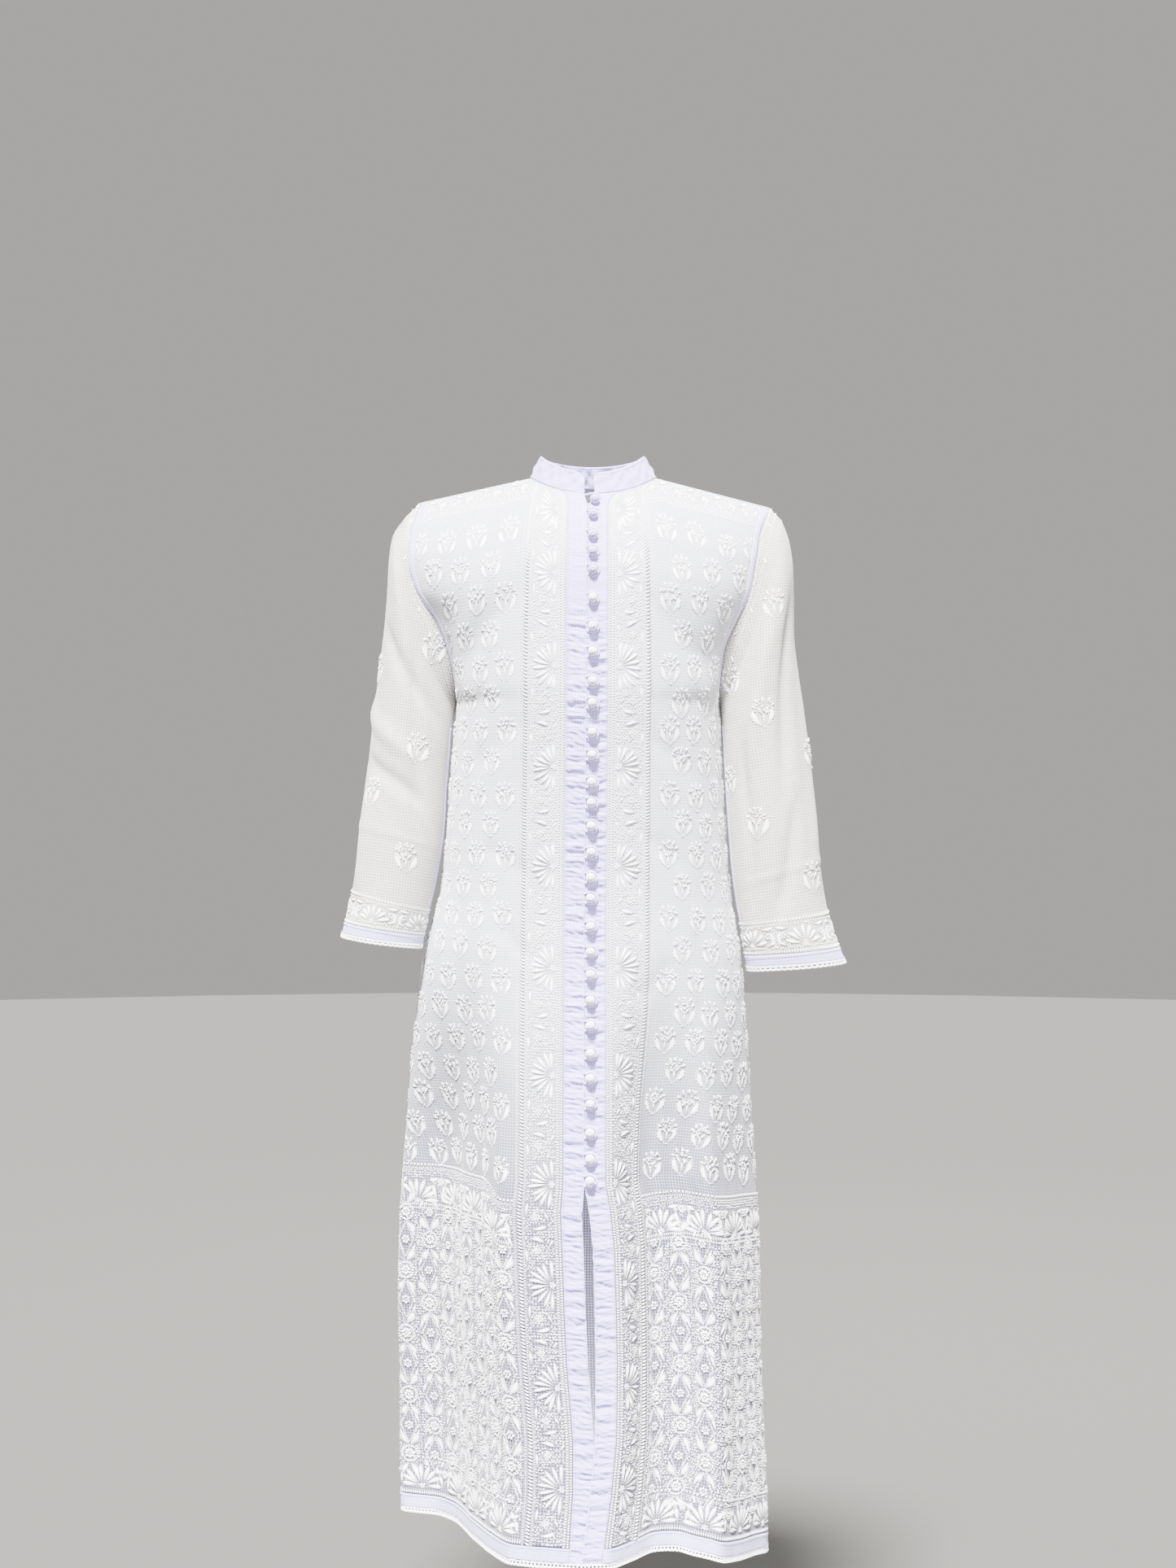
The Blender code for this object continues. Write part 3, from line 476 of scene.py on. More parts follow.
# The sleeves: three-quarter, set in, of the same mul cotton without anything behind it, so
# they look sheer. Each is one piece, closed by a seam along the underarm.
SLEEVE_COLUMNS = "ring outer outer_drop inner inner_drop half_depth forward bulge"
SLEEVE = {
    "right": table(
        SLEEVE_COLUMNS,
        (1, 200, 41, 147.6, 249, 46, 0, 18),
        (2, 214, 63, 149.0, 257, 50, 1, 14),
        (3, 218, 90, 150.2, 267, 52, 2, 9),
        (4, 219.5, 122, 151.4, 280, 53, 3, 6),
        (5, 222.5, 158, 152.7, 296, 53, 5, 3),
        (6, 227, 198, 154.1, 315, 52, 7, 1),
        (7, 232, 240, 155.6, 337, 51, 9, 0),
        (8, 237, 285, 156.9, 362, 50, 12, 0),
        (9, 242.5, 330, 159.2, 388, 49, 15, 0),
        (10, 248, 372, 163, 412, 48, 18, 0),
        (11, 251.5, 412, 168.5, 440, 46, 21, 0),
        (12, 256.5, 450, 175, 468, 44, 24, 0),
        (13, 266, 489, 181, 500, 42, 27, 0),
    ),
    "left": table(
        SLEEVE_COLUMNS,
        (1, 201, 45, 134.8, 246, 46, 0, 8),
        (2, 209, 68, 135.8, 254, 50, 1, 6),
        (3, 213, 96, 136.6, 265, 52, 2, 4),
        (4, 214, 130, 137.4, 279, 53, 3, 3),
        (5, 214, 168, 138.3, 296, 53, 5, 2),
        (6, 216, 208, 139.4, 317, 52, 7, 1),
        (7, 220.5, 250, 140.7, 340, 51, 9, 0),
        (8, 226.5, 295, 142.3, 366, 50, 12, 0),
        (9, 232, 340, 144.2, 392, 49, 14, 0),
        (10, 238, 385, 146.5, 420, 47, 16, 0),
        (11, 243, 430, 150.5, 450, 44, 18, 0),
        (12, 251, 474, 156.5, 485, 41, 20, 0),
        (13, 267, 517, 162.5, 525, 36, 22, 0),
    ),
}
# u is measured round the sleeve from its outer line, positive towards the front, v downwards
SLEEVE_CREASES = {
    "right": (
        (20, 120, 100, 210, 9, -4.2), (-10, 200, 80, 260, 10, 3.8), (10, 260, 95, 300, 8, -4.2),
        (-20, 330, 110, 345, 3.0, 1.0), (-110, 345, -20, 330, 3.0, 1.0), (70, 150, 92, 330, 8, -3.5),
        (30, 300, 24, 420, 9, 4.2), (-60, 160, -90, 300, 10, -4.2), (-30, 250, -90, 330, 9, 3.2),
    ),
    "left": (
        (30, 90, 62, 300, 9, -5.2), (60, 110, 96, 270, 8, 3.8), (8, 150, 22, 380, 10, 4.2),
        (-20, 360, 110, 378, 3.0, 1.1), (-110, 378, -20, 360, 3.0, 1.1), (45, 300, 80, 430, 8, -4.2),
        (-50, 150, -85, 320, 10, -4.2), (-30, 260, -90, 350, 9, 3.2), (100, 230, 104, 400, 6, -3.2),
    ),
}


def sleeve(side, angle, ring):
    """The worn sleeve: angle 0 on its outer line, a quarter turn at the front; ring 0 is the
    armhole and 13 the cuff's edge."""
    angle, ring = np.broadcast_arrays(np.asarray(angle, float), np.asarray(ring, float))
    values = {c: read(SLEEVE[side], c, ring) for c in SLEEVE_COLUMNS.split()[1:]}
    share = (1 - np.cos(angle)) / 2
    x = values["outer"] + (values["inner"] - values["outer"]) * share
    x = x + values["bulge"] * np.sin(angle) ** 2
    drop = values["outer_drop"] + (values["inner_drop"] - values["outer_drop"]) * share
    y = -values["forward"] - values["half_depth"] * np.sin(angle)
    points = np.stack([OUT[side] * x, y, -drop], axis=-1) * MM
    level = 1 + (1 + np.cos(angle)) / 2
    front, back = body(side, "front", 1.0, level), body(side, "back", 1.0, level)
    armhole = np.where((np.sin(angle) >= 0)[..., None], front, back)
    near = np.clip(ring, 0, 1)[..., None]
    return armhole * (1 - near) + points * near


def sleeve_map(side):
    """Flat places on a sleeve, with its grain along its length: how to read and find them."""
    top, end = sleeve(side, 0.0, 1.0), sleeve(side, 0.0, 13.0)
    grain = (end - top) / np.linalg.norm(end - top)
    angles, rings = np.linspace(-math.pi, math.pi, 97), np.linspace(0, 13, 131)
    heights = (sleeve(side, angles[:, None], rings[None, :]) - top) @ grain / MM
    steps = np.arange(-40.0, 524.0, 4.0)
    ring_rows = np.array([np.interp(steps, line, rings) for line in heights]).T
    points = sleeve(side, angles[None, :], ring_rows) / MM
    runs = np.cumsum(np.linalg.norm(np.diff(points, axis=1), axis=2), axis=1)
    runs = np.concatenate([np.zeros((len(steps), 1)), runs], axis=1)
    runs -= runs[:, 48:49]
    around = np.arange(-170.0, 171.0, 2.0)
    angle_rows = np.array([np.interp(around, run, angles) for run in runs])

    def blend(rows, across, down):
        down = np.clip(down, 0, rows.shape[0] - 1.001)
        across = np.clip(across, 0, rows.shape[1] - 1.001)
        i, j = down.astype(int), across.astype(int)
        a, b = down - i, across - j
        return ((rows[i, j] * (1 - b) + rows[i, j + 1] * b) * (1 - a)
                + (rows[i + 1, j] * (1 - b) + rows[i + 1, j + 1] * b) * a)

    def flat_of(angle, points):
        v = (points - top) @ grain / MM
        return blend(runs, (angle + math.pi) / (2 * math.pi) * 96, (v + 40) / 4), v

    def find(u, v):
        row = (v + 40) / 4
        angle = blend(angle_rows, (u + 170) / 2, row)
        return angle, blend(ring_rows, (angle + math.pi) / (2 * math.pi) * 96, row)

    return flat_of, find


GIRTH, RING_PITCH = 270.0, 39.5
CUFF_BAND_HEIGHT, CUFF_LACE_HEIGHT = 11.0, 5.0
SLEEVE_CLOTH = check_cloth("sheer mul cotton with a woven check", "B4AEA5", "F5F3EF", veil=0.6)
SLEEVE_FLAT, CUFF_LAY = {}, {}
for side, hand in OUT.items():
    SLEEVE_FLAT[side], find = sleeve_map(side)

    def shaped(angle, ring, lift=0.0, s=side, hand=hand):
        """The sleeve's surface with its folds, at an angle and ring."""
        angle, ring = np.broadcast_arrays(angle, ring)
        here = sleeve(s, angle, ring)
        turn = sleeve(s, angle + 0.02, ring) - sleeve(s, angle - 0.02, ring)
        down = sleeve(s, angle, ring + 0.05) - sleeve(s, angle, ring - 0.05)
        normal = np.cross(turn, down) * hand
        normal /= np.linalg.norm(normal, axis=-1, keepdims=True)
        u, v = SLEEVE_FLAT[s](angle, here)
        folds = creased(u, v, SLEEVE_CREASES[s]) * ease(0, 1, ring) * (1 - ease(11, 12.3, ring))
        folds = folds + 0.6 * np.sin(angle * 5 + 1) * ease(11, 12.5, ring)
        return here + normal * (folds + lift)[..., None] * MM, normal

    LAY["sleeve_" + side] = lambda u, v, lift=0.0, find=find, shaped=shaped: shaped(
        *find(u, v), lift)
    CUFF_LAY[side] = lambda u, v, lift=0.0, shaped=shaped: shaped(
        u / GIRTH * 2 * math.pi, 13.0 - v / RING_PITCH, lift)
    cloth_end = 13.0 - (CUFF_BAND_HEIGHT + CUFF_LACE_HEIGHT) / RING_PITCH
    piece = spread("cloth_sleeve_" + side, (84, 120),
                   lambda a, b: ((a - 0.5) * 2 * math.pi, (1 - b) * cloth_end),
                   SLEEVE_CLOTH, shaped, 0.0004,
                   lambda angle, ring, s=side: SLEEVE_FLAT[s](angle, sleeve(s, angle, ring)))
    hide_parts("sleeve_" + side)
    panels["sleeve_" + side] = (piece, (0.34, 0.46), 0.115)

# The bands: the same mul cotton in lilac, cut straight, folded double and stitched on: the
# two placket bands, the hem bands and the cuff hems. The placket bands are drawn up by their
# seams, so they pucker crossways below the fifth button, and the hem bands ripple a little.
BAND_THICKNESS = 0.0011
BAND_LIFT = 0.35
# The strongest puckers: height above the hem, depth, half width and slant
PUCKERS = {
    "right": (
        (958, 0.8, 1.8, 0.10), (938, 1.0, 2.0, -0.08), (916, 0.9, 1.6, 0.12), (893, 1.1, 2.2, 0.02),
        (868, 0.9, 1.8, -0.10), (846, 1.2, 2.0, 0.08), (823, 1.0, 1.7, 0.04), (797, 1.2, 2.2, -0.12),
        (771, 0.9, 1.8, 0.06), (744, 1.1, 2.0, 0.14), (716, 1.0, 1.9, -0.04), (690, 1.2, 2.1, 0.10),
        (664, 0.9, 1.7, 0.00), (633, 1.2, 2.2, -0.10), (604, 1.0, 1.8, 0.08), (573, 1.1, 2.0, 0.04),
        (541, 1.0, 1.9, -0.08), (509, 1.2, 2.1, 0.06), (478, 0.9, 1.8, 0.12), (449, 1.1, 2.0, -0.02),
        (417, 1.3, 2.0, 0.05), (391, 1.2, 1.7, -0.10), (367, 1.4, 1.9, 0.00), (343, 1.3, 1.8, 0.08),
        (318, 1.3, 2.1, 0.02), (292, 1.4, 1.8, -0.06), (268, 1.2, 2.0, 0.10), (241, 1.4, 1.9, -0.20),
        (214, 1.2, 1.8, 0.04), (186, 1.3, 2.1, 0.00), (155, 1.2, 1.9, -0.08), (121, 1.0, 2.0, 0.10),
        (86, 1.1, 1.8, -0.04), (52, 0.9, 2.0, 0.06),
    ),
    "left": (
        (952, 0.9, 1.9, -0.10), (929, 1.0, 1.8, 0.06), (905, 1.1, 2.1, 0.10), (880, 0.9, 1.7, -0.12),
        (857, 1.2, 2.0, 0.04), (833, 1.0, 1.9, 0.10), (808, 1.1, 2.2, -0.06), (783, 1.2, 1.8, 0.12),
        (756, 0.9, 2.0, 0.00), (731, 1.2, 1.9, -0.10), (702, 1.1, 2.1, 0.08), (675, 1.0, 1.8, -0.04),
        (649, 1.2, 2.0, 0.12), (619, 1.1, 2.2, 0.02), (589, 1.0, 1.8, -0.08), (557, 1.2, 2.0, 0.10),
        (525, 1.1, 1.9, 0.00), (494, 1.0, 2.1, -0.12), (463, 1.2, 1.8, 0.08), (433, 1.1, 2.0, 0.04),
        (404, 1.3, 1.9, -0.06), (379, 1.2, 1.8, 0.10), (352, 1.3, 2.1, 0.00), (327, 1.2, 1.9, -0.10),
        (303, 1.4, 1.8, 0.06), (277, 1.2, 2.0, 0.02), (252, 1.3, 1.9, 0.12), (226, 1.4, 2.1, -0.08),
        (200, 1.2, 1.8, 0.04), (171, 1.3, 2.0, -0.02), (143, 1.1, 1.9, 0.10), (108, 1.2, 1.8, -0.06),
        (72, 1.0, 2.0, 0.04), (38, 0.9, 1.9, -0.10),
    ),
}


def puckered(side, u, v):
    """Height of a placket band's puckers: soft ridges crowded together, creased over by
    finer crumples, with the strongest troughs of the table between them."""
    calm = 0.25 + 0.75 * (1 - ease(940, 985, v))
    lean = OUT[side]
    sway = v * 0.42 + 1.3 * np.sin(v * 0.047 + lean) + 0.3 * np.sin(u * 0.35 + v * 0.11 + 2 * lean)
    height = 1.1 * np.sin(sway + lean) * (0.6 + 0.4 * np.sin(v * 0.083 + 1.5 * lean))
    height = height + 0.45 * np.sin(v * 1.02 + 0.3 * lean * u + 2.2 * np.sin(v * 0.13 + 0.2 * u))
    height = height + 0.34 * np.sin(v * 1.61 - 0.4 * u + 2.6 * np.sin(v * 0.19 - 0.15 * u)) - 0.8
    for middle, depth, half, slant in PUCKERS[side]:
        off = (v - middle - slant * u - 1.6 * np.sin(0.22 * u + middle)) / (1.35 * half)
        depth = depth * (0.55 + 0.45 * np.sin(0.13 * u + middle * 1.7))
        height = height - 1.2 * depth * np.exp(-off ** 2)
    held = ease(-2, 3, u) * (1 - 0.8 * ease(17, 21.5, u))
    return height * calm * held


for side, hand in OUT.items():
    LAY["placket_" + side] = worn(
        front_places[side],
        lambda u, v, s=side: creased(u, v, FRONT_CREASES[s]) + puckered(s, u, v), hand)

PALE_CLOTH = check_cloth("pale lilac mul cotton with a woven check", "AAA3D4", "D0CAF2")
LILAC_CLOTH = check_cloth("lilac mul cotton with a woven check", "A99BDC", "D3C9F8")
for side in OUT:
    piece = spread(
        "cloth_placket_" + side, (9, 1000),
        lambda a, b: (a * PLACKET_WIDTH, LACE_HEIGHT + b * (SKIRT_LENGTH + YOKE_LENGTH - 5.5)),
        LILAC_CLOTH, lambda u, v, s=side: LAY["placket_" + s](u, v, BAND_LIFT), BAND_THICKNESS)
    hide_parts("placket_" + side)

# The loops' roots are held between the right band and a narrow rolled strip along its edge.
roll = spread(
    "cloth_loop_strip", (3, 420), lambda a, b: (a * 2.4 - 0.2, 352 + b * 733),
    LILAC_CLOTH, lambda u, v: LAY["placket_right"](u, v, 0.75), 0.0009)
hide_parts("button_loops")

HEM_RUNS = {
    "front_right": (lambda v: 0 * v + PLACKET_WIDTH, FRONT_WIDTH["right"]),
    "front_left": (lambda v: 0 * v + PLACKET_WIDTH, FRONT_WIDTH["left"]),
    "back": (lambda v: -BACK_WIDTH["right"](v), BACK_WIDTH["left"]),
}


def rippled(u, v):
    """How far a hem band stands off its panel: it ripples between its two stitched edges."""
    return BAND_LIFT + 0.22 + 0.22 * np.sin(u * 0.7 + 1.9 * np.sin(u * 0.13) + v * 0.3)


for name, (begin, end) in HEM_RUNS.items():
    def strip(across, along, begin=begin, end=end):
        v = LACE_HEIGHT + along * HEM_BAND_HEIGHT
        return begin(v) + across * (end(v) - begin(v)), v

    piece = spread("cloth_hem_band_" + name, (300 if name == "back" else 150, 6), strip,
                   PALE_CLOTH, lambda u, v, n=name: LAY[n](u, v, rippled(u, v)), BAND_THICKNESS)
    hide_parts("hem_band_" + name)

for side in OUT:
    piece = spread(
        "cloth_cuff_band_" + side, (90, 5),
        lambda a, b: ((a - 0.5) * GIRTH, CUFF_LACE_HEIGHT + b * CUFF_BAND_HEIGHT),
        PALE_CLOTH, lambda u, v, s=side: CUFF_LAY[s](u, v, BAND_LIFT), BAND_THICKNESS)
    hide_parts("cuff_band_" + side)

# The armhole and underarm seams: their turnings are bound in the lilac cotton and pressed
# flat, and show through the sheer cloth as a narrow lilac band along each seam.
SEAM_BAND, SEAM_LIFT, SEAM_THICKNESS = 7.0, 0.25, 0.0004
ARMHOLE_LOW, ARMHOLE_RUN = 880, 202
seams = {name: [] for name in panels}
for side in OUT:
    for face, width in (("front", FRONT_WIDTH[side]), ("back", BACK_WIDTH[side])):
        toward = OUT[side] if face == "back" else 1.0
        lay = LAY["back" if face == "back" else "front_" + side]
        piece = spread(
            "cloth_armhole_seam_%s_%s" % (face, side), (3, 60),
            lambda a, b, w=width, t=toward: (
                t * (w(ARMHOLE_LOW + b * ARMHOLE_RUN) - 0.8 - (1 - a) * SEAM_BAND),
                ARMHOLE_LOW + b * ARMHOLE_RUN),
            PALE_CLOTH, lambda u, v, lay=lay: lay(u, v, SEAM_LIFT), SEAM_THICKNESS)
        seams["back" if face == "back" else "front_" + side].append(piece)
    piece = spread(
        "cloth_underarm_seam_" + side, (3, 70),
        lambda a, b: (GIRTH / 2 - 4 - a * SEAM_BAND, 17 + b * 370),
        PALE_CLOTH, lambda u, v, s=side: CUFF_LAY[s](u, v, SEAM_LIFT), SEAM_THICKNESS)
    seams["sleeve_" + side].append(piece)
for name, (piece, flat, area) in panels.items():
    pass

# The collar: a stand band of two layers of the lilac cotton, 24 mm high, turned over a light
# stiffening, with rounded front corners and soft crumples from wear.
COLLAR_RISE, COLLAR_TOP_HALF_WIDTH, COLLAR_TOP_SHIFT = 23.5, 55.0, -1.0
COLLAR_TOP_HALF_DEPTH = {"front": 53.0, "back": 45.0}
COLLAR_GIRTH = 60.0


def collar_place(u, v):
    """The stand collar: u runs round from the centre front, v up from its seam."""
    angle, rise = u / COLLAR_GIRTH, v / COLLAR_RISE
    front = np.cos(angle) > 0
    facing = np.where(front, -1.0, 1.0)
    forward = np.abs(np.cos(angle))
    base_y = facing * np.where(front, NECK_HALF_DEPTH["front"], NECK_HALF_DEPTH["back"]) * forward
    top_depth = np.where(front, COLLAR_TOP_HALF_DEPTH["front"], COLLAR_TOP_HALF_DEPTH["back"])
    base_z = -np.where(front, NECK_DROP["front"], NECK_DROP["back"]) * forward ** 1.6
    x = NECK_HALF_WIDTH * np.sin(angle)
    top_x = COLLAR_TOP_HALF_WIDTH * np.sin(angle) + COLLAR_TOP_SHIFT
    y = base_y + (facing * top_depth * forward - base_y) * rise
    return np.stack([x + (top_x - x) * rise, y, base_z + COLLAR_RISE * rise], axis=-1) * MM


def collar_crumple(u, v):
    upright = np.sin(u * 0.36 + 0.16 * v + 1.7 * np.sin(u * 0.13))
    slanted = np.sin(u * 0.27 - 0.42 * v + 1.2 * np.sin(u * 0.19 + 1))
    shape = np.sin(np.pi * np.clip(v / COLLAR_RISE, 0, 1)) ** 0.7
    return (0.9 * upright + 0.7 * slanted + 0.3) * shape


LAY["collar"] = worn(collar_place, collar_crumple, 1.0)
collar_start = COLLAR_GIRTH * math.asin(CLOSING["left"][0] / NECK_HALF_WIDTH)
collar_end = COLLAR_GIRTH * (2 * math.pi + math.asin(CLOSING["right"][0] / NECK_HALF_WIDTH))


def collar_cut(across, along):
    """The band's outline, with its two top front corners rounded off."""
    u = collar_start + across * (collar_end - collar_start)
    left_corner = 4.0 * np.clip(1 - (u - collar_start) / 8, 0, 1) ** 2
    right_corner = 7.0 * np.clip(1 - (collar_end - u) / 12, 0, 1) ** 2
    return u, along * (COLLAR_RISE - left_corner - right_corner)


piece = spread("cloth_collar", (220, 14), collar_cut, LILAC_CLOTH, LAY["collar"], BAND_THICKNESS)
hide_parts("collar")

# The lace edging: white cotton cord under each hem and cuff band. A heading and short bars
# leave a row of small holes, and a thicker scalloped cord runs along the lower edge.
LACE_PITCH = {"hem": 3.8, "cuff": 5.2}
EDGE_CORD_RADIUS, BAR_SHARE = 0.00115, 0.24


def cotton_cord(name, colour, groove_shade, ply):
    """Plied cotton cord: slanted plies a known distance apart, soft and without gloss, with painted
    shade in the grooves between the plies.
    """
    finish, tree, shader = fabric(name, 0.75, 0.3)
    place = add(tree, "ShaderNodeTexCoord")
    plies = add(tree, "ShaderNodeTexWave", {
        "Vector": place.outputs["Object"], "Scale": 0.31416 / ply, "Distortion": 2.0,
        "Detail": 2.0}, bands_direction="DIAGONAL")
    # Painted shade: the grooves between the plies take the darker tone.
    colours = add(tree, "ShaderNodeMix", {
        0: plies.outputs["Fac"], 6: hue(groove_shade), 7: hue(colour)}, data_type="RGBA")
    bump = add(tree, "ShaderNodeBump", {
        "Height": plies.outputs["Fac"], "Strength": 0.6, "Distance": 0.0003})
    tree.links.new(colours.outputs[2], shader.inputs["Base Color"])
    tree.links.new(bump.outputs["Normal"], shader.inputs["Normal"])
    return finish


def cords(name, paths, radius, finish, round_by=1):
    """Round cords along lists of points, as one curve."""
    curve = bpy.data.curves.new(name, "CURVE")
    curve.dimensions = "3D"
    curve.bevel_depth = radius
    curve.bevel_resolution = round_by
    curve.use_fill_caps = True
    for path in paths:
        line = curve.splines.new("POLY")
        line.points.add(len(path) - 1)
        line.points.foreach_set("co", np.column_stack([path, np.ones(len(path))]).ravel())
        line.use_smooth = True
    curve.materials.append(finish)
    piece = bpy.data.objects.new(name, curve)
    bpy.context.scene.collection.objects.link(piece)
    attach(piece, "root")
    return piece


# Its second tone is painted shade between the plies.
LACE_CORD = cotton_cord("white cotton lace cord", "FDFCFC", "E6E3EA", 0.0011)
LACE_RUNS = {"hem_lace_" + n: (LAY[n], begin, end) for n, (begin, end) in HEM_RUNS.items()}
LACE_RUNS["hem_lace_front_right"] = (LAY["front_right"], lambda v: 0 * v + 0.5, FRONT_WIDTH["right"])
LACE_RUNS["hem_lace_front_left"] = (LAY["front_left"], lambda v: 0 * v + 0.5, FRONT_WIDTH["left"])
for side in OUT:
    LACE_RUNS["cuff_lace_" + side] = (
        CUFF_LAY[side], lambda v: -GIRTH / 2 + 0 * v, lambda v: GIRTH / 2 + 0 * v)
for name, (lay, begin, end) in LACE_RUNS.items():
    tall = LACE_HEIGHT if "hem" in name else CUFF_LACE_HEIGHT
    pitch = LACE_PITCH[name.split("_")[0]]
    low, high = float(begin(np.array(2.0))), float(end(np.array(2.0)))
    count = int((high - low) / pitch)
    places = np.linspace(low, high, count * 4 + 1)
    scallop = 1.75 - 0.7 * np.abs(np.sin(np.pi * (places - low) / (high - low) * count))
    edge, _ = lay(places, scallop)
    heading, _ = lay(places[::2], np.full(len(places[::2]), tall - 0.5))
    bars = []
    for i in range(count + 1):
        at = low + (high - low) * i / count
        bars.append(lay(np.array([at, at + 0.1]), np.array([tall - 0.6, 1.6]))[0])
    lace_edge = cords(name + "_edge", [edge], EDGE_CORD_RADIUS, LACE_CORD, 2)
    lace_bars = cords(name + "_bars", [heading] + bars, pitch * BAR_SHARE * MM, LACE_CORD)
    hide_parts(name)
    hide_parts(name)

# The chikankari: soft white cotton floss, worked by hand in satin stitch, French knots and
# small back stitches. Every stitch is a low raised form that lies on the cloth.
THREAD_PITCH = 0.0006


def stitch_form(sections, blunt):
    """One raised stitch of unit size: a grid drawn together at both ends."""
    form = bmesh.new()
    bmesh.ops.create_grid(form, x_segments=2, y_segments=sections + 1, size=0.5)
    for vert in form.verts:
        full = math.sin(math.pi * (vert.co.y + 0.5) ** blunt) ** 0.8
        vert.co.z = full * (1.0 if abs(vert.co.x) < 0.1 else -0.15)
        vert.co.x *= full
    bmesh.ops.remove_doubles(form, verts=form.verts, dist=0.001)
    bmesh.ops.triangulate(form, faces=form.faces)
    return arrays_of(form)


def knot_form():
    """One French knot of unit size: a low cone that is shaded as a dome."""
    form = bmesh.new()
    bmesh.ops.create_cone(form, segments=6, radius1=0.55, radius2=0.0, depth=0.9, cap_ends=False)
    bmesh.ops.translate(form, verts=form.verts, vec=(0, 0, 0.35))
    return arrays_of(form)


def arrays_of(form):
    bmesh.ops.recalc_face_normals(form, faces=form.faces)
    form.verts.index_update()
    corners = np.array([v.co for v in form.verts])
    faces = np.array([[v.index for v in f.verts] for f in form.faces])
    form.free()
    return corners, faces


PETAL_FORM, STITCH_FORM, KNOT_FORM = stitch_form(3, 1.6), stitch_form(1, 1.0), knot_form()


def thread_finish(name, colour, groove_shade, painted_foot_shade):
    """Loosely twisted cotton floss: strands lie side by side across a stitch, 0.6 mm apart, with
    painted shade in the grooves between them. Each stitch is white on its crown and has painted shade
    down its flanks, darkest where it enters the cloth."""
    finish, tree, shader = fabric(name, 0.6, 0.4)
    flat = add(tree, "ShaderNodeUVMap", uv_map="flat")
    strands = add(tree, "ShaderNodeTexWave", {
        "Vector": flat.outputs["UV"], "Scale": 0.31416 / THREAD_PITCH, "Distortion": 1.0},
        bands_direction="Y")
    bump = add(tree, "ShaderNodeBump", {
        "Height": strands.outputs["Fac"], "Strength": 0.5, "Distance": 0.0001})
    # Painted shade in the grooves between the strands.
    plied = add(tree, "ShaderNodeMix", {
        0: strands.outputs["Fac"], 6: hue(groove_shade), 7: hue(colour)}, data_type="RGBA")
    # Painted shade: the foot's shade tone at a stitch's edge, blending into the floss colour halfway
    # up.
    crown = add(tree, "ShaderNodeAttribute", attribute_name="crown")
    flank_shade_mask = add(tree, "ShaderNodeMapRange", {"Value": crown.outputs["Fac"], "From Max": 0.5})
    colours = add(tree, "ShaderNodeMix", {
        0: flank_shade_mask.outputs[0], 6: hue(painted_foot_shade), 7: plied.outputs[2]}, data_type="RGBA")
    tree.links.new(colours.outputs[2], shader.inputs["Base Color"])
    tree.links.new(bump.outputs["Normal"], shader.inputs["Normal"])
    return finish


# Its second and third tones are painted shade: between the strands, and at each stitch's foot.
WHITE_THREAD = thread_finish("white cotton embroidery floss", "FFFFFF", "FCFBFE", "6B6873")


def walk(path, pitch):
    """Even places along a path, with the path's direction in degrees."""
    path = np.array(path, float)
    steps = np.diff(path, axis=0)
    runs = np.concatenate([[0], np.cumsum(np.hypot(*steps.T))])
    count = max(int(runs[-1] / pitch), 1)
    for run in (np.arange(count) + 0.5) * runs[-1] / count:
        i = min(np.searchsorted(runs, run, side="right") - 1, len(steps) - 1)
        t = (run - runs[i]) / max(runs[i + 1] - runs[i], 1e-6)
        u, v = path[i] + steps[i] * t
        yield u, v, math.degrees(math.atan2(steps[i][1], steps[i][0]))


